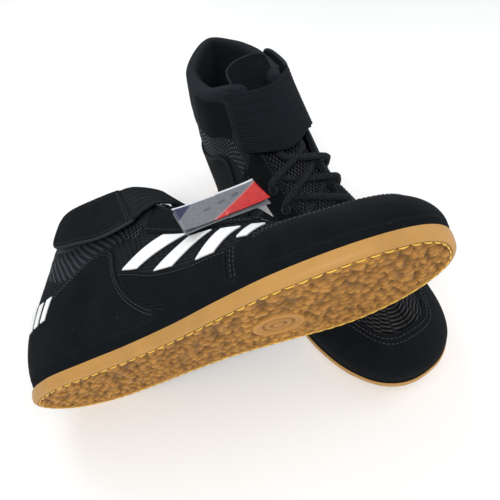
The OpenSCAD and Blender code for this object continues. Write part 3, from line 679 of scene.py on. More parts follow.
SUEDE = suede("suede_black", (0.0022, 0.003, 0.004), (0.0065, 0.008, 0.0095))
SUEDE_DEEP = suede("suede_deep", (0.002, 0.0028, 0.0036), (0.0055, 0.007, 0.009), 0.015)
# Darker copy of the black suede for the hem behind the lip: painted shade, which keeps the hem, turned towards the
# pale floor, from looking brighter than the panels above.
SUEDE_HEM_SHADED = suede("suede_hem_painted_shade", (0.0012, 0.0017, 0.0022), (0.0034, 0.0044, 0.0055), 0.004)
MESH = open_mesh("mesh_ankle", 5.0, (0.004, 0.0055, 0.0075), (0.019, 0.025, 0.032), (0.0008, 0.001, 0.0013))
MESH_TOE = open_mesh("mesh_toe", 4.3, (0.0035, 0.004, 0.005), (0.017, 0.018, 0.021),
                     (0.0008, 0.0009, 0.0011), 0.62)
KNIT = knit("knit_collar", (0.005, 0.0075, 0.010), (0.018, 0.025, 0.033))
TRICOT = knit("tricot_lining", (0.003, 0.0042, 0.006), (0.010, 0.0125, 0.017), 0.7, 0.9, 0.03)
MESH_TONGUE = open_mesh("mesh_tongue", 2.6, (0.005, 0.006, 0.0075), (0.02, 0.023, 0.028), (0.001, 0.001, 0.0015))
BINDING = suede("suede_binding", (0.005, 0.0065, 0.008), (0.014, 0.017, 0.021), 0.03)
FOOTBED = knit("footbed_cover", (0.012, 0.012, 0.013), (0.035, 0.035, 0.04), 0.8, 0.8, 0.1)
RIBBED = ribbed("ribbed_cloth", (0.003, 0.0038, 0.005), (0.016, 0.019, 0.024), 2.6)
ELASTIC = ribbed("elastic_rib", (0.004, 0.0055, 0.007), (0.013, 0.018, 0.023), 1.5)
WHITE = white_trim("white_synthetic")
GUM_TREAD = gum("gum_tread", (0.29, 0.13, 0.024), (0.45, 0.22, 0.047), 0.5)
GUM_WALL = gum("gum_wall", (0.24, 0.135, 0.04), (0.44, 0.235, 0.065), 0.08)
THREAD = plain("thread_black", (0.008, 0.009, 0.011), (0.024, 0.026, 0.03), 0.6, 800, 0.4,
               Specular_IOR_Level=0.3)
THREAD_PALE = plain("thread_grey", (0.02, 0.022, 0.025), (0.045, 0.048, 0.054), 0.6, 800, 0.4,
                    Specular_IOR_Level=0.2)
YELLOW = plain("thread_yellow", (0.72, 0.42, 0.04), (0.92, 0.62, 0.10), 0.45, 700, 0.4)
CORD = plain("lace_cord", (0.0035, 0.0045, 0.006), (0.014, 0.017, 0.022), 0.78, 500, 0.6, Sheen_Weight=0.04,
             Sheen_Roughness=0.4, Specular_IOR_Level=0.15)
TIP = plain("lace_tip", (0.012, 0.012, 0.013), (0.02, 0.02, 0.022), 0.3, 60, 0.05, Coat_Weight=0.3)
BOARD = plain("fibre_board", (0.42, 0.36, 0.27), (0.56, 0.49, 0.38), 0.9, 120, 0.5)
LOOP = plain("loop_pile", (0.004, 0.004, 0.005), (0.016, 0.017, 0.02), 0.95, 900, 1.0, Sheen_Weight=0.05)
PRINTED = card("card_printed", True)
CARD = card("card_plain", False)


# -------------------------------------------------------------- camera, light
def camera():
    """The viewing angle of the pair: above the left boot's toe, looking down over the right boot's sole."""
    aim, distance = np.array([-40.4, 33.1, 0.0]), 418.9
    elevation, heading, roll = math.radians(46.96), math.radians(-18.65), math.radians(-13.99)
    m = Matrix.Rotation(heading, 3, "Z")
    look = m @ Vector((0, math.cos(elevation), -math.sin(elevation)))
    across = m @ Vector((1, 0, 0))
    up = across.cross(look)
    right = across * math.cos(roll) + up * math.sin(roll)
    top = up * math.cos(roll) - across * math.sin(roll)
    data = bpy.data.cameras.new("camera")
    data.sensor_width, data.lens, data.clip_start = 36.0, 33.0, 0.01
    cam = bpy.data.objects.new("camera", data)
    place_at = Vector(aim * MM) - look * distance * MM
    cam.matrix_world = Matrix((
        (right.x, top.x, -look.x, place_at.x), (right.y, top.y, -look.y, place_at.y),
        (right.z, top.z, -look.z, place_at.z), (0, 0, 0, 1)))
    bpy.context.scene.collection.objects.link(cam)
    bpy.context.scene.camera = cam


def area_light(name, where, at, size, power, colour):
    data = bpy.data.lights.new(name, "AREA")
    data.shape = "DISK"
    data.size = size
    data.energy = power
    data.color = colour
    lamp = bpy.data.objects.new(name, data)
    lamp.location = where
    lamp.rotation_euler = (Vector(at) - Vector(where)).to_track_quat("-Z", "Y").to_euler()
    bpy.context.scene.collection.objects.link(lamp)


def studio():
    world = bpy.data.worlds.new("studio")
    world.use_nodes = True
    sky = world.node_tree.nodes["Background"].inputs
    sky[0].default_value, sky[1].default_value = (1.0, 1.0, 1.0, 1), 0.55
    bpy.context.scene.world = world
    centre = (-0.09, 0.0, 0.06)
    area_light("key", (-0.45, -0.8, 1.1), centre, 0.45, 12, (1.0, 0.98, 0.95))
    area_light("fill", (0.9, -0.3, 0.7), centre, 0.9, 3.0, (0.90, 0.95, 1.0))
    area_light("back", (-0.2, 1.0, 0.8), centre, 0.8, 5, (0.92, 0.96, 1.0))
    floor_mesh = bpy.data.meshes.new("floor")
    r = 4.0
    floor_mesh.from_pydata([(-r, -r, 0), (r, -r, 0), (r, r, 0), (-r, r, 0)], [], [(0, 1, 2, 3)])
    n = Nodes("floor")
    n.finish(n.ramp(n.noise(3.0), (0.0, 0.88), (1.0, 0.92)), 0.9)
    link("floor", floor_mesh, n.mat)
    scene = bpy.context.scene
    scene.view_settings.view_transform = "Standard"
    scene.view_settings.look = "None"


camera()
studio()

# ------------------------------------------------------------------- outsole
FOOT_IN = 0.5
GROOVE_IN, GROOVE_W, GROOVE_D = 0.9, 1.4, 1.8
INSET = -(FOOT_IN + GROOVE_IN + GROOVE_W)
WALL_OUT, WALL_GAP, WALL_LIP = 2.6, 1.95, -2.2
WALL_FOOT = 4.6
TREAD_DISC, DISC_R, DISC_FLAT = (180.0, 2.0), 16.0, 13.2
DISC_RINGS = (4.4, 9.2)
SOLE_GIRTH = 640
CREPE_DEEP = 3.0
# Profile of the cup wall as (millimetres out, height): heights above the ground for the lower half, and
# shares of the wall's height below its lip for the upper half.
WALL_LOW = [(INSET, GROOVE_D), (INSET + 0.25, GROOVE_D + 0.15), (INSET + GROOVE_W - 0.3, GROOVE_D + 0.1),
            (INSET + GROOVE_W, GROOVE_D - 0.1), (INSET + GROOVE_W + 0.12, 1.15), (INSET + GROOVE_W + 0.4, 0.9),
            (-FOOT_IN - 0.1, 0.82), (-FOOT_IN + 0.3, 0.84), (0.0, 0.92), (0.5, 1.1), (1.0, 1.45), (1.5, 2.0),
            (1.95, 2.8), (2.25, 3.7), (2.45, WALL_FOOT)]
WALL_HIGH = [(WALL_OUT - 0.15, -0.62), (WALL_OUT, -0.35), (WALL_OUT, -0.12), (WALL_OUT - 0.05, -0.04),
             (WALL_OUT - 0.3, 0.0), (WALL_OUT - 0.6, 0.02), (WALL_GAP + 0.3, 0.0), (WALL_GAP, -0.06),
             (WALL_GAP - 0.05, -0.25)]
# The hem of suede behind the lip: (t, millimetres out) on the last, then (out, down) from the feather edge.
HEM_HIGH = ((0.1, 0.8), (0.065, 1.25), (0.03, 1.55))
HEM_LOW = ((1.72, 0.0), (1.78, 1.2), (1.78, 3.6), (0.6, 3.8))


def ground(x):
    return 6 * np.maximum(0, (x - 205) / 80) ** 2


def edge_out(v, step=0.02):
    d = last(v + step, 0) - last(v - step, 0)
    return unit(np.stack([d[..., 1], -d[..., 0], 0 * d[..., 0]], -1))


def scales(x, y, size, seed):
    """Height from 0 to 1 of overlapping scales, each tilted its own way."""
    gx = x / size[0] + 0.35 * value_noise(x / 9, y / 9, seed)
    gy = y / size[1] + 0.35 * value_noise(x / 9, y / 9, seed + 1)
    ix, iy = np.floor(gx), np.floor(gy)
    best = np.full(x.shape, -9.0)
    for i in (-1, 0, 1):
        for j in (-1, 0, 1):
            cx, cy = ix + i, iy + j
            h = [lattice_hash(cx, cy, seed + k) for k in range(8, 13)]
            dx, dy = gx - (cx + 0.15 + 0.7 * h[0]), gy - (cy + 0.15 + 0.7 * h[1])
            tx, ty = 1.7 * (h[3] - 0.5), 1.3 * (h[4] - 0.15)
            best = np.maximum(best, 0.72 + 0.5 * h[2] - 2.1 * (dx * dx + dy * dy) + tx * dx + ty * dy)
    return np.clip((best - 0.2) / 0.95, 0, 1)


def crepe(x, y):
    """Depth in millimetres below the highest tread of crinkled crepe rubber."""
    big = scales(x, y, (6.2, 4.2), 3)
    small = scales(y * 0.8 + x * 0.3, x, (2.6, 3.1), 60)
    fine = 0.10 * value_noise(x / 1.5, y / 1.2, 21)
    return CREPE_DEEP * (1 - np.clip(big ** 1.15 * 0.82 + small * 0.2 + fine, 0, 1))


def tread(side):
    """Crinkled tread up to the stitch groove, with its plain disc."""
    u = np.concatenate([np.linspace(0, 0.4, 16)[:-1], np.linspace(0.4, 10.6, 560),
                        np.linspace(10.6, 11, 14)[1:]])
    lat, med = (last(w, 0) + edge_out(w) * INSET for w in (-u, u))
    width = np.linalg.norm(lat - med, axis=1)[:, None]
    share = np.minimum(np.array([0, 0.2, 0.5, 0.9]) / np.maximum(width, 8), 0.12)
    inner = np.linspace(0, 1, 170)[1:-1]
    s = np.concatenate([share, share[:, -1:] + (1 - 2 * share[:, -1:]) * inner, 1 - share[:, ::-1]], 1)
    p = lat[:, None, :] + (med - lat)[:, None, :] * s[..., None]
    way = np.linspace(0, 1, len(u))
    rim = np.minimum(np.minimum(s, 1 - s) * width, np.minimum(way, 1 - way)[:, None] * 900)
    x, y = p[..., 0], p[..., 1]
    depth = crepe(x, y) * (0.35 + 0.65 * smooth_step(rim / 1.6))
    r = np.hypot(x - TREAD_DISC[0], y - TREAD_DISC[1])
    rings = sum(np.exp(-((r - at) / 0.75) ** 2) for at in DISC_RINGS)
    disc = np.where(r < DISC_FLAT, 0.5 + 1.3 * np.minimum(rings, 1), 0.05)
    inside = 1 - smooth_step((r - DISC_R + 0.8) / 1.4)
    depth = np.maximum(depth * (1 - inside) + disc * inside, 0)
    depth = depth + (GROOVE_D - 0.1) * (1 - smooth_step(rim / 0.7))
    p[..., 2] = ground(x) + depth
    # The rim attribute holds the tread's height, from which the gum material paints shade into the hollows and a
    # highlight onto the crests.
    piece(side, "tread", "gum_rubber", GUM_TREAD, flat(p), grid_faces(*x.shape),
          rim=np.clip(1 - depth / CREPE_DEEP, 0, 1).ravel(), stands_for=("outsole",))


def outsole(side):
    """Tread, cup wall with its rounded lip, the suede hem behind it and the sole's stitching."""
    tread(side)
    v = np.linspace(-HEEL, HEEL, 881)[:-1]
    foot, n = last(v, 0), edge_out(v)
    lip = foot[:, 2] + WALL_LIP

    def ring(out, height):
        q = foot + n * out
        q[:, 2] = height(q)
        return q

    rings = [ring(out, lambda q: ground(q[:, 0]) + z) for out, z in WALL_LOW]
    rings += [ring(out, lambda q: lip + k * (lip - ground(q[:, 0]) - WALL_FOOT)) for out, k in WALL_HIGH]
    wall = np.stack(rings, 1)
    wall[:, 10:16, :] += (n * (0.12 * value_noise(v * 3.1, 0 * v, 31))[:, None])[:, None, :]
    # The wall counts as crest everywhere, so it takes the gum's painted crest highlight all over and none of its
    # painted hollow shade.
    piece(side, "cup_wall", "gum_rubber", GUM_WALL, flat(wall), grid_faces(len(v), wall.shape[1], True),
          rim=np.ones(wall.shape[:2]).ravel())
    hem = np.stack([skin("round", v, t, o) for t, o in HEM_HIGH]
                   + [ring(out, lambda q: q[:, 2] - down) for out, down in HEM_LOW], 1)
    # The hem takes the darker suede copy, which is painted shade.
    piece(side, "lasting_margin", "suede", SUEDE_HEM_SHADED, flat(hem), grid_faces(len(v), hem.shape[1], True),
          pairs(np.linspace(0, SOLE_GIRTH, len(v))[:, None], np.arange(hem.shape[1])))
    line = ring(INSET + GROOVE_W / 2, lambda q: ground(q[:, 0]) + 0.75)
    line = np.vstack([line, line[:1]])
    stitching(side, "sole_stitching", [(line, np.tile([0.0, 0.0, -1.0], (len(line), 1)))], YELLOW,
              pitch=7.2, length=5.6, r=0.42)


for boot in SIDES:
    outsole(boot)

# --------------------------------------------------------------------- upper
HANDS = ((-1, "outer"), (1, "inner"))
BASE_T = 1.2
OVER_OUT = 1.7
TRIM_OUT = 1.4
BAR_OUT = 1.05
HEEL_BAR_OUT = 2.5
HEEL_BAR_FROM, HEEL_BAR_STEP, HEEL_BAR_W = 12.1, 0.22, 0.13
RIB_H, RIB_PITCH, RIB_SLANT = 0.28, 5.2, 1.3
PAD_FROM = 7.0
LINING_IN = 3.5
COLLAR_PAD = 6.0
TONGUE_IN, TONGUE_T = 8.0, 2.6


def band(low, *rows):
    """Panel edges from rows of (station, upper edge) over a level lower edge."""
    return [(a, low, high) for a, high in rows]


def mirrored(edge, about=0):
    return [(2 * about - a, lo, hi) for a, lo, hi in reversed(edge)]


VAMP_EDGE = [(-3.97, -0.96, 0.96), (-2, -0.94, 0.94), (-0.5, -0.92, 0.92), (-0.03, -0.9, 0.9)]
CAP_HALF = band(0.05, (-4.75, 0.3), (-4.5, 0.36), (-4, 0.5), (-3, 0.6), (-1, 0.6))
QUARTER_EDGE = band(0.0, (-10.96, 0.6), (-10, 0.6), (-9.2, 0.5), (-8.3, 0.55), (-7.6, 0.6), (-7.2, 0.72),
                    (-7, 0.95), (-6.7, 0.985), (-5, 0.99), (-4.4, 0.96), (-4.03, 0.93))
STAY_EDGE = [(-7.0, 0.66, 0.97), (-6.5, 0.66, 0.985), (-5.5, 0.66, 0.985), (-5, 0.66, 0.985), (-4.5, 0.7, 0.96)]
SIDE_EDGE = [(-7.4, 0.375, 0.39), (-7, 0.275, 0.385), (-6.5, 0.17, 0.352), (-6.13, 0.1, 0.337),
             (-6.0, 0.05, 0.333), (-5.25, 0.05, 0.315), (-4.8, 0.05, 0.32)]
COUNTER_HALF = band(0.05, (6.15, 0.09), (6.5, 0.15), (7, 0.26), (7.5, 0.38), (8, 0.51), (8.5, 0.54),
                    (9, 0.47), (9.5, 0.42), (10, 0.44))
ANKLE_EDGE = [(7.25, 0.6, 0.71), (8.3, 0.54, 0.71), (9.2, 0.49, 0.71), (10, 0.59, 0.71), (11, 0.6, 0.71),
              (12, 0.59, 0.71), (12.8, 0.49, 0.71), (13.7, 0.54, 0.71), (14.75, 0.6, 0.71)]
LINING_HALF = band(0.03, (4.2, 0.7), (7, 0.66), (7.8, 0.72), (8.3, 0.8), (9, 0.8))
ANCHOR_EDGE = [(8, 0.7, 0.84), (8.5, 0.7, 0.95), (9, 0.7, 0.97), (9.3, 0.72, 0.97)]
LOOP_EDGE = [(-9.9, 0.74, 0.95), (-9.5, 0.7, 0.95), (-8.7, 0.72, 0.93)]
# Each bar's middle and width at its lower and upper end, and the heights of the two ends.
BARS = [(-7.12, 0.44, -6.15, 0.6, 0.40, 0.645), (-6.25, 0.42, -5.48, 0.52, 0.36, 0.60),
        (-5.25, 0.4, -4.8, 0.38, 0.33, 0.575), (-4.52, 0.2, -4.28, 0.26, 0.42, 0.595)]


CAP_EDGE = CAP_HALF + [(0, 0.05, 0.64)] + mirrored(CAP_HALF)
COUNTER_EDGE = COUNTER_HALF + [(11, 0.05, 0.47)] + mirrored(COUNTER_HALF, HEEL)


def on_hand(hand, edge):
    """An edge given for the outer side, on that side or mirrored to the inner one."""
    return edge if hand < 0 else mirrored(edge)


def soft_relief(seed, amount):
    return lambda a, b, ua, ub: amount * rumple(ua, ub, seed)


def rib_relief(a, b, ua, ub):
    """Ridges that run parallel to the slanted bars."""
    return RIB_H * np.sin((ua - RIB_SLANT * ub) * 2 * np.pi / RIB_PITCH) - 0.2


def from_toe(v):
    """Stations away from the toe on either side."""
    return np.abs((v + HEEL) % LAP - HEEL)


def lining_depth(a, b):
    return -LINING_IN - COLLAR_PAD * smooth_step((b - 0.55) * 4) * smooth_step(from_toe(a) - PAD_FROM)


def bar_shell(hand, a_low, w_low, a_high, w_high, t_low, t_high):
    """One white bar, leaning towards the throat."""
    s = np.linspace(0, 1, 36)[:, None]
    e = np.array([-0.5, -0.48, -0.44, -0.3, -0.1, 0.1, 0.3, 0.44, 0.48, 0.5])
    a = (a_low + (a_high - a_low) * s + e * (w_low + (w_high - w_low) * s)) * -hand
    b = np.broadcast_to(t_low + (t_high - t_low) * s, a.shape)
    edge = np.clip(np.minimum(np.minimum(np.minimum(s, 1 - s) * 26, (0.5 - np.abs(e)) * 15), 0.5) / 0.5, 0, 1)
    outer = skin("round", a, b, BAR_OUT + 0.4 * np.sqrt(1 - (1 - edge) ** 2))
    faces = shell_faces(*a.shape)
    return (flat(outer, skin("round", a, b, 0.15)), faces[:, ::-1] if hand < 0 else faces,
            np.tile(pairs(a * 20, b * 80), (2, 1)), np.tile((edge * 0.9).ravel(), 2))


def side_bars(side):
    shells = [bar_shell(hand, *bar) for hand, word in HANDS for bar in BARS]
    verts, faces, uvs, rims = (list(part) for part in zip(*shells))
    count = len(verts[0])
    faces = [f + k * count for k, f in enumerate(faces)]
    piece(side, "side_stripes", "white_trim", WHITE, *(np.concatenate(part) for part in (verts, faces, uvs, rims)))


def upper(side):
    panel(side, "vamp_mesh", "mesh", MESH_TOE, "vamp", VAMP_EDGE, -BASE_T, 0.0, 1.7, soft_relief(1, 0.3), 0)
    panel(side, "toe_cap", "suede", SUEDE, "round", CAP_EDGE, 0.0, OVER_OUT, 2.0, soft_relief(2, 0.35))
    for hand, word in HANDS:
        panel(side, f"quarter_{word}", "side_cloth", RIBBED, "round", on_hand(hand, QUARTER_EDGE), -BASE_T, 0.0,
              1.1, rib_relief, 0)
        panel(side, f"eyestay_{word}", "suede", SUEDE, "round", on_hand(hand, STAY_EDGE), 0.0, OVER_OUT,
              1.6, soft_relief(4, 0.15))
        panel(side, f"side_overlay_{word}", "suede", SUEDE, "round", on_hand(hand, SIDE_EDGE), 0.0, TRIM_OUT,
              2.0, soft_relief(5, 0.3), stands_for=("side_overlays",))
    panel(side, "heel_counter", "suede", SUEDE, "round", COUNTER_EDGE, 0.0, OVER_OUT, 2.0, soft_relief(6, 0.35))
    panel(side, "ankle_mesh", "mesh", MESH, "round", ANKLE_EDGE, -BASE_T, 0.2, 1.4, soft_relief(7, 0.5), 0)
    panel(side, "lining", "knit", TRICOT, "round", LINING_HALF + mirrored(LINING_HALF, HEEL),
          lambda a, b: lining_depth(a, b) - 1.0, lining_depth, 2.4, soft_relief(8, 0.3), 0)
    side_bars(side)
    for k in range(3):
        a = HEEL_BAR_FROM + HEEL_BAR_STEP * k
        panel(side, f"heel_bar_{k + 1}", "white_trim", WHITE, "round", band(0.3, (a, 0.42), (a + HEEL_BAR_W, 0.42)),
              TRIM_OUT, HEEL_BAR_OUT, 1.0, seam=0, round_r=0.3, stands_for=("heel_mark",))


for boot in SIDES:
    upper(boot)

# --------------------------------------------------------- collar and tongue
COLLAR_FRONT, COLLAR_BACK = 7.08, 14.92
COLLAR_LOW, COLLAR_TOP = 0.69, 0.985
COLLAR_SWELL = 1.2
OUTSIDE_ROWS, RIM_ROWS = 18, 11


def collar_swell(v, t):
    """How far the padded collar stands out of the upper."""
    full = smooth_step((from_toe(v) - PAD_FROM) / 1.1)
    return 0.3 + COLLAR_SWELL * full * np.sin(np.pi * np.clip((t - COLLAR_LOW) / 0.36, 0, 1)) ** 0.75


def collar_roll(side):
    """Padded knit roll: up the outside, over the rim and down the inside to the lining, as one closed form."""
    v = np.linspace(COLLAR_FRONT, COLLAR_BACK, 330)
    inward = smooth_step(from_toe(v) - 7.1)
    deep = LINING_IN + COLLAR_PAD * inward
    top = last(v, 1.0)
    rise = unit(top - last(v, 0.97))
    out = facing("round", v, 0.975)
    run = arc(top) * 1.05
    x = np.linspace(0, 1, OUTSIDE_ROWS)
    rows = []
    for k in x:
        t = COLLAR_LOW + (COLLAR_TOP - COLLAR_LOW) * k
        fold = 0.45 * rumple(run, 40 * k, 41) + 0.25 * value_noise(run / 5, 8 * k, 42)
        fold = fold * np.sin(np.pi * k) ** 0.5
        rows.append(skin("round", v, t, collar_swell(v, t) + fold - (0.5 if k == 0 else 0)))
    o_top = collar_swell(v, COLLAR_TOP)
    centre, half = (o_top - deep) / 2, (o_top + deep) / 2
    high = np.minimum(half * 0.85, 5.2)
    for k in np.linspace(0, math.pi, RIM_ROWS + 2)[1:-1]:
        lift = high * math.sin(k) - 1.0 + 0.5 * rumple(run, 60 + 6 * k, 43)
        rows.append(top + out * (centre + half * math.cos(k))[:, None] + rise * lift[:, None])
    for k in x[::-1]:
        swell = 1.8 * np.sin(np.pi * k) ** 0.8 * inward
        rows.append(skin("round", v, 0.72 + (0.975 - 0.72) * k, 0.3 * rumple(run, 30 * k, 44) - deep - swell))
    for k in (0.25, 0.5, 0.75):
        rows.append((1 - k) * skin("round", v, 0.715, -deep) + k * skin("round", v, 0.695, -0.6))
    p = np.stack(rows, 1)
    n, m = p.shape[:2]
    quads, caps = pipe_faces(n, m)
    faces = [*quads[:, [0, 3, 2, 1]].tolist(), *(c[::-1] for c in caps)]
    obj = piece(side, "collar_roll", "knit", KNIT, flat(p), faces, pairs(run[:, None], arc(p[n // 2])),
                stands_for=("collar_knit", "collar_foam"))
    obj.data.materials.append(TRICOT)
    index = np.zeros(len(obj.data.polygons), np.int32)
    index[:len(quads)] = np.tile(np.arange(m) >= OUTSIDE_ROWS + 7, n - 1)
    obj.data.polygons.foreach_set("material_index", index)
    lines = [line_on("round", v, t, collar_swell(v, t)) for t in (COLLAR_LOW + 0.012, COLLAR_LOW + 0.045)]
    stitching(side, "collar_stitching", lines, THREAD)


PIVOT = np.array([104.5, 3.5, 137.0])
TONGUE_LEAN = math.radians(42.0)
TONGUE_UP = np.array([-math.sin(TONGUE_LEAN), 0, math.cos(TONGUE_LEAN)])
TONGUE_FRONT = np.array([TONGUE_UP[2], 0, -TONGUE_UP[0]])
TONGUE_L, TONGUE_W = 110, 32
# Station and the two edges across the throat, then height above the pivot and half width.
TONGUE_STATIONS = ((4.4, -0.15, 1.15), (5, -0.1, 1.1), (5.5, -0.04, 1.04), (6, 0, 1), (6.5, 0.03, 0.97),
                   (7, 0.06, 0.94), (7.5, 0.08, 0.92))
TONGUE_HEIGHTS = ((1.0, 15.0), (8.0, 15.6), (16.0, 16.0), (23.0, 16.0), (29.5, 15.6))


def tongue_rails():
    """One edge, middle and other edge of the tongue from the vamp to its free end."""
    rails = [[skin("throat", -u, b, extra - TONGUE_IN) for b, extra in ((b0, 0.0), (0.5, 1.6), (b1, 0.0))]
             for u, b0, b1 in TONGUE_STATIONS]
    for h, w in TONGUE_HEIGHTS:
        c = PIVOT + TONGUE_UP * h + TONGUE_FRONT * 1.2
        wide = np.array([0, w, 0])
        rails.append([c - wide - TONGUE_FRONT * 1.5, c + TONGUE_FRONT * 0.8, c + wide - TONGUE_FRONT * 1.5])
    return np.array(rails).transpose(1, 0, 2)


RAILS = tongue_rails()


def tongue_point(s, b):
    """Point of the tongue's face: s from 0 at the vamp to 1 at the free end, b from 0 to 1 across."""
    s, b = np.broadcast_arrays(np.asarray(s, float), np.asarray(b, float))
    low, mid, high = (along(r, s) for r in RAILS)
    b = b[..., None]
    return low * (1 - b) * (1 - 2 * b) + mid * 4 * b * (1 - b) + high * b * (2 * b - 1)


def tongue_normal(s, b, step=0.01):
    ds = tongue_point(np.clip(s + step, 0, 1), b) - tongue_point(np.clip(s - step, 0, 1), b)
    db = tongue_point(s, b + step) - tongue_point(s, b - step)
    return unit(np.cross(ds, db))


def tongue_sheet(side, name, s0, s1, rows, low_o, high_o, mat, width, amount, seed):
    """Padded sheet on the tongue; width gives the half width as a share, for each row."""
    s = np.linspace(s0, s1, rows)[:, None]
    x = np.linspace(-1, 1, 46)
    x = np.sign(x) * np.abs(x) ** 0.8
    half = width(s)
    b = 0.5 + x * half
    s = np.broadcast_to(s, b.shape)
    edge = np.minimum((1 - np.abs(x)) * half * TONGUE_W, np.minimum(s - s0, s1 - s) * TONGUE_L)
    puff = np.sqrt(1 - (1 - np.clip(edge / 2.0, 0, 1)) ** 2)
    full = 0.2 + 0.8 * puff
    n, base = tongue_normal(s, b), tongue_point(s, b)
    mm_s, mm_b = s * TONGUE_L, x * half * TONGUE_W
    mid = (low_o + high_o) / 2
    top = mid + (high_o - mid) * full + amount * rumple(mm_s, mm_b, seed) * puff
    low = mid + (low_o - mid) * full
    return make_mesh(side, name, mat, flat(base + n * top[..., None], base + n * low[..., None]),
                     shell_faces(*s.shape), np.tile(pairs(mm_s, mm_b), (2, 1)),
                     np.tile(np.clip(edge, 0, 3).ravel(), 2))


def bend_with_flap(obj, side, slot, *nodes):
    """Bakes the piece's placement into its mesh and hides the CAD nodes it stands for."""
    start = place(side, PIVOT - TONGUE_UP * 9)
    end = place(side, PIVOT + TONGUE_UP * 3)
    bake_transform(obj)
    if nodes:
        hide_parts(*nodes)


def tapered(half, start, over, power, least):
    """Half width that rounds off towards the free end."""
    return lambda s: half * np.sqrt(np.clip(1 - np.clip((s - start) / over, 0, 1) ** power, least, 1))


def tongue(side):
    body = tongue_sheet(side, "tongue", 0.0, 0.99, 150, -TONGUE_T, 0.0, MESH_TONGUE,
                        tapered(0.5, 0.93, 0.075, 3, 0.12), 0.35, 51)
    bend_with_flap(body, side, "mesh", f"{side}_tongue")
    half = tapered(0.485, 0.90, 0.1, 2.6, 0.10)
    top = tongue_sheet(side, "tongue_top", 0.63, 1.0, 90, -TONGUE_T - 0.7, 1.1, SUEDE_DEEP, half, 0.3, 52)
    bend_with_flap(top, side, "suede", f"{side}_tongue_top")
    s = np.linspace(0.655, 0.995, 120)
    rim = np.concatenate([tongue_point(s, 0.5 - half(s)), tongue_point(0.998, 0.5 + np.linspace(-0.12, 0.12, 8)),
                          tongue_point(s, 0.5 + half(s))[::-1]])
    binding = make_mesh(side, "tongue_binding", BINDING, *tube(smooth_path(rim[::4], 0.8), 1.25, 12))
    bend_with_flap(binding, side, "suede")
    hole = np.array(0.91), np.array(0.36)
    n = tongue_normal(*hole)
    e1 = unit(np.cross(n, [0, 1, 0.0]))
    ring = circle(tongue_point(*hole) + n * 1.25, e1, np.cross(n, e1), 1.7)
    bend_with_flap(make_mesh(side, "tongue_eyelet", THREAD_PALE, *tube(ring, 0.45, 8)), side, "thread")


# --------------------------------------------------------------------- laces
LACE_ROWS = 4
LACE_R = 2.5
ROW_FIRST, ROW_STEP = 4.5, 0.53
EYELET_T = 0.87
AGLET_L = 15.0
# Station and height over the throat where each end of the lace runs under the strap.
LACE_END = ((6.4, 4.2), (6.7, 2.6), (7.0, 1.6))


def tube_piece(side, name, slot, mat, points, r, sides=16, wave=None, body=None, stands_for=()):
    piece(side, name, slot, mat, *tube(points, r, sides, wave), body=body, stands_for=stands_for)


def row_at(i):
    return ROW_FIRST + i * ROW_STEP


def eyelet_frame(hand, i):
    v = hand * row_at(i)
    return last(v, EYELET_T), facing("round", v, EYELET_T), unit(last(v, 1.0) - last(v, 0.8))


def lace_turn(hand, i, up):
    """Over the throat's edge, down through the eyelet and back under the edge, or the other way."""
    c, n, e = eyelet_frame(hand, i)
    path = [c + e * 8.5 + n * 5.0, c + e * 2.8 + n * 4.9, c - e * 0.6 + n * 0.4,
            c + e * 2.8 - n * 4.1, c + e * 8 - n * 4.3]
    return path[::-1] if up else path


def over_throat(u, b, h):
    return skin("throat", -u, b, h)


def lace_points():
    path = [over_throat(u, 0.3, h) for u, h in LACE_END[::-1]]
    for i in range(LACE_ROWS - 1, -1, -1):
        path += lace_turn(-1 if i % 2 == 0 else 1, i, False)
        if i > 0:
            path.append(over_throat(row_at(i - 0.5), 0.5, -2.1))
    for i in range(LACE_ROWS):
        if i > 0:
            path.append(over_throat(row_at(i - 0.5), 0.5, 3.9))
        path += lace_turn(1 if i % 2 == 0 else -1, i, True)
    return np.array(path + [over_throat(u, 0.7, h) for u, h in LACE_END])


def braid(run, ang):
    """Ribs of a round braid: two sets of strands that wind opposite ways."""
    one, two = (np.sin(k * ang + run * 2 * np.pi / 3.4) for k in (4, -4))
    return 1 + 0.045 * np.maximum(one, two) + 0.02 * np.sin(run * 2 * np.pi / 0.9)


def laces(side):
    tube_piece(side, "lace", "lace_cord", CORD, smooth_path(lace_points(), 0.45), LACE_R * 0.97, 28, braid)
    for k, b in enumerate((0.3, 0.7)):
        before, end = (over_throat(u, b, h) for u, h in LACE_END[1:])
        at = np.linspace(0.2, AGLET_L + 0.4, 40)
        r = 1.6 * np.sqrt(np.clip(1 - np.clip((at - AGLET_L + 1) / 1.5, 0, 1) ** 2, 0.05, 1))
        tube_piece(side, f"aglet_{k + 1}", "aglet_tape", TIP, end + unit(end - before) * at[:, None], r,
                   stands_for=("aglets",))
    for k in range(LACE_ROWS):
        for hand, word in HANDS:
            c, n, e = eyelet_frame(hand, k)
            ring = circle(c + n * (OVER_OUT + 0.1), e, np.cross(n, e), 3.4)
            tube_piece(side, f"eyelet_{word}_{k + 1}", "thread", THREAD, ring, 0.55, 8)


# --------------------------------------------------------------------- strap
STRAP_T, STRAP_W = 2.0, 44
STRAP_SPLIT = 0.45
TAB_EDGE = [(0.0, 0.36, 0.66), (0.008, 0.24, 0.78), (0.025, 0.12, 0.88), (0.05, 0.045, 0.955),
            (0.09, 0.005, 0.995), (0.15, 0.0, 1.0), (0.3, 0.0, 1.0), (STRAP_SPLIT + 0.012, 0.0, 1.0)]
ELASTIC_EDGE = [(STRAP_SPLIT - 0.004, 0.01, 0.99), (0.6, 0.0, 1.0), (0.8, 0.0, 1.0), (0.992, 0.005, 0.995)]
HOOK_EDGE = [(0.05, 0.2, 0.8), (0.25, 0.15, 0.85)]
TAB_SEAM = 3.2


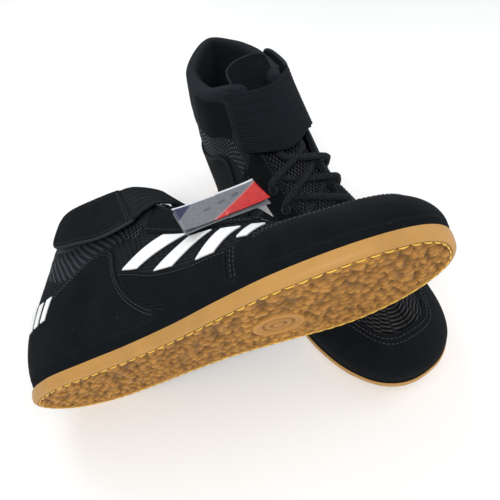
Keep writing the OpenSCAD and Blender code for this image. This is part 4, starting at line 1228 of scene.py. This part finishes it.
def elastic_relief(a, b, ua, ub):
    """Fine ribs along the elastic and a thicker cord at each selvedge."""
    edge = np.minimum(b, 1 - b) * STRAP_W
    return 0.16 * np.sin(ub * 2 * np.pi / 1.9) + 0.35 * np.exp(-((edge - 1.2) / 0.8) ** 2)


def seat(o):
    """Draws the inner end of the strap down to the patch it is sewn on."""
    return lambda a, b: o - 1.6 * smooth_step((a - 0.9) / 0.1)


def strap(side):
    body = f"{side}_strap"
    panel(side, "strap_elastic", "elastic", ELASTIC, "strap", ELASTIC_EDGE, seat(0.1), seat(STRAP_T - 0.1), 0.62,
          elastic_relief, 0, body=body)
    panel(side, "strap_tab", "suede", SUEDE, "strap", TAB_EDGE, 0.0, STRAP_T + 0.3, 1.5, soft_relief(61, 0.3),
          3.0, 0.9, body)
    panel(side, "strap_hook", "hook_loop", LOOP, "strap", HOOK_EDGE, -1.4, -0.1, 1.2, seam=0, body=body)
    a = np.concatenate([np.linspace(STRAP_SPLIT, 0.06, 60), np.linspace(0.06, 0.0, 30)[1:]])
    low, high = edge_curves(TAB_EDGE, a)
    rim = np.concatenate([skin("strap", a, low, 1.1),
                          skin("strap", 0.0, np.linspace(low[-1], high[-1], 8)[1:-1], 1.1),
                          skin("strap", a, high, 1.1)[::-1]])
    tube_piece(side, "strap_tab_binding", "suede", BINDING, smooth_path(rim[::3], 0.8), 1.35, 12, body=body)
    lines = [seam_line("strap", TAB_EDGE, which, TAB_SEAM, STRAP_T + 0.25, 0.04) for which in ("low", "high")]
    lines += [end_line("strap", STRAP_SPLIT - back, 0.06, 0.94, STRAP_T + 0.3) for back in (0.012, 0.024)]
    lines.append(end_line("strap", 0.985, 0.05, 0.95, STRAP_T - 1.5))
    stitching(side, "strap_stitching", lines, THREAD, body)


def on_collar(extra):
    return lambda a, b: collar_swell(a, b) + extra


def strap_patches(side):
    """Suede patch at the strap's inner seam and the loop pad that the tab closes on."""
    panel(side, "strap_anchor", "suede", SUEDE, "round", ANCHOR_EDGE, on_collar(-0.4), on_collar(0.9), 1.6,
          soft_relief(63, 0.2))
    panel(side, "strap_loop_pad", "hook_loop", LOOP, "round", LOOP_EDGE, on_collar(-0.4), on_collar(0.8), 1.6,
          soft_relief(64, 0.2))


# ------------------------------------------------------------ seams and tag
def upper_seams(side):
    lines = []
    for inset in (SEAM_IN, SEAM_IN + 2.5):
        lines.append(seam_line("round", CAP_EDGE, "high", inset, OVER_OUT, -4.3, 4.3))
        lines.append(seam_line("round", COUNTER_EDGE, "high", inset, OVER_OUT, 6.4, 15.6))
    for hand, word in HANDS:
        stay, lower = on_hand(hand, STAY_EDGE), on_hand(hand, SIDE_EDGE)
        lines += [seam_line("round", stay, which, SEAM_IN, OVER_OUT) for which in ("high", "low")]
        lines.append(seam_line("round", lower, "high", SEAM_IN, TRIM_OUT))
        lines += [end_line("round", hand * a, 0.07, b, OVER_OUT) for a, b in ((4.69, 0.3), (4.62, 0.31))]
    stitching(side, "upper_stitching", lines, THREAD_PALE)


TAG_W, TAG_H, TAG_T = 56.0, 27.0, 0.8


def tag():
    """Two leaves of a folded card with a slight curl."""
    x, y = np.meshgrid(np.linspace(-TAG_W / 2, TAG_W / 2, 60), np.linspace(-TAG_H / 2, TAG_H / 2, 44),
                       indexing="ij")
    edge = np.minimum(TAG_W / 2 - np.abs(x), TAG_H / 2 - np.abs(y))
    half = TAG_T / 2 * (0.5 + 0.5 * np.clip(edge / 0.4, 0, 1))
    for leaf, sign, mat, slot in (("front", 1, PRINTED, "tag_print"), ("back", -1, CARD, "tag_card")):
        z = sign * (0.9 + 0.9 * (x / TAG_W * 2) ** 4 + 0.6 * (y / TAG_H * 2) ** 4 * (x > 0))
        points = flat(np.stack([x, y, z + half], -1), np.stack([x, y, z - half], -1))
        obj = make_mesh("tag", f"{leaf}_card", mat, points, shell_faces(*x.shape),
                        np.tile(pairs(x + TAG_W / 2, y), (2, 1)))
        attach(obj, "tag")
        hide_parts(f"tag_{leaf}")


for boot in SIDES:
    collar_roll(boot)
    tongue(boot)
    laces(boot)
    strap(boot)
    strap_patches(boot)
    upper_seams(boot)
tag()

CAD_LOOKS = {"insole_board": BOARD, "toe_puff": FOOTBED, "heel_stiffener": BOARD, "sockliner": FOOTBED}
for node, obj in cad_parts.items():
    key = node.split("_", 1)[1] if node.startswith(SIDES) else node
    if key in CAD_LOOKS:
        obj.data.materials.clear()
        obj.data.materials.append(CAD_LOOKS[key])
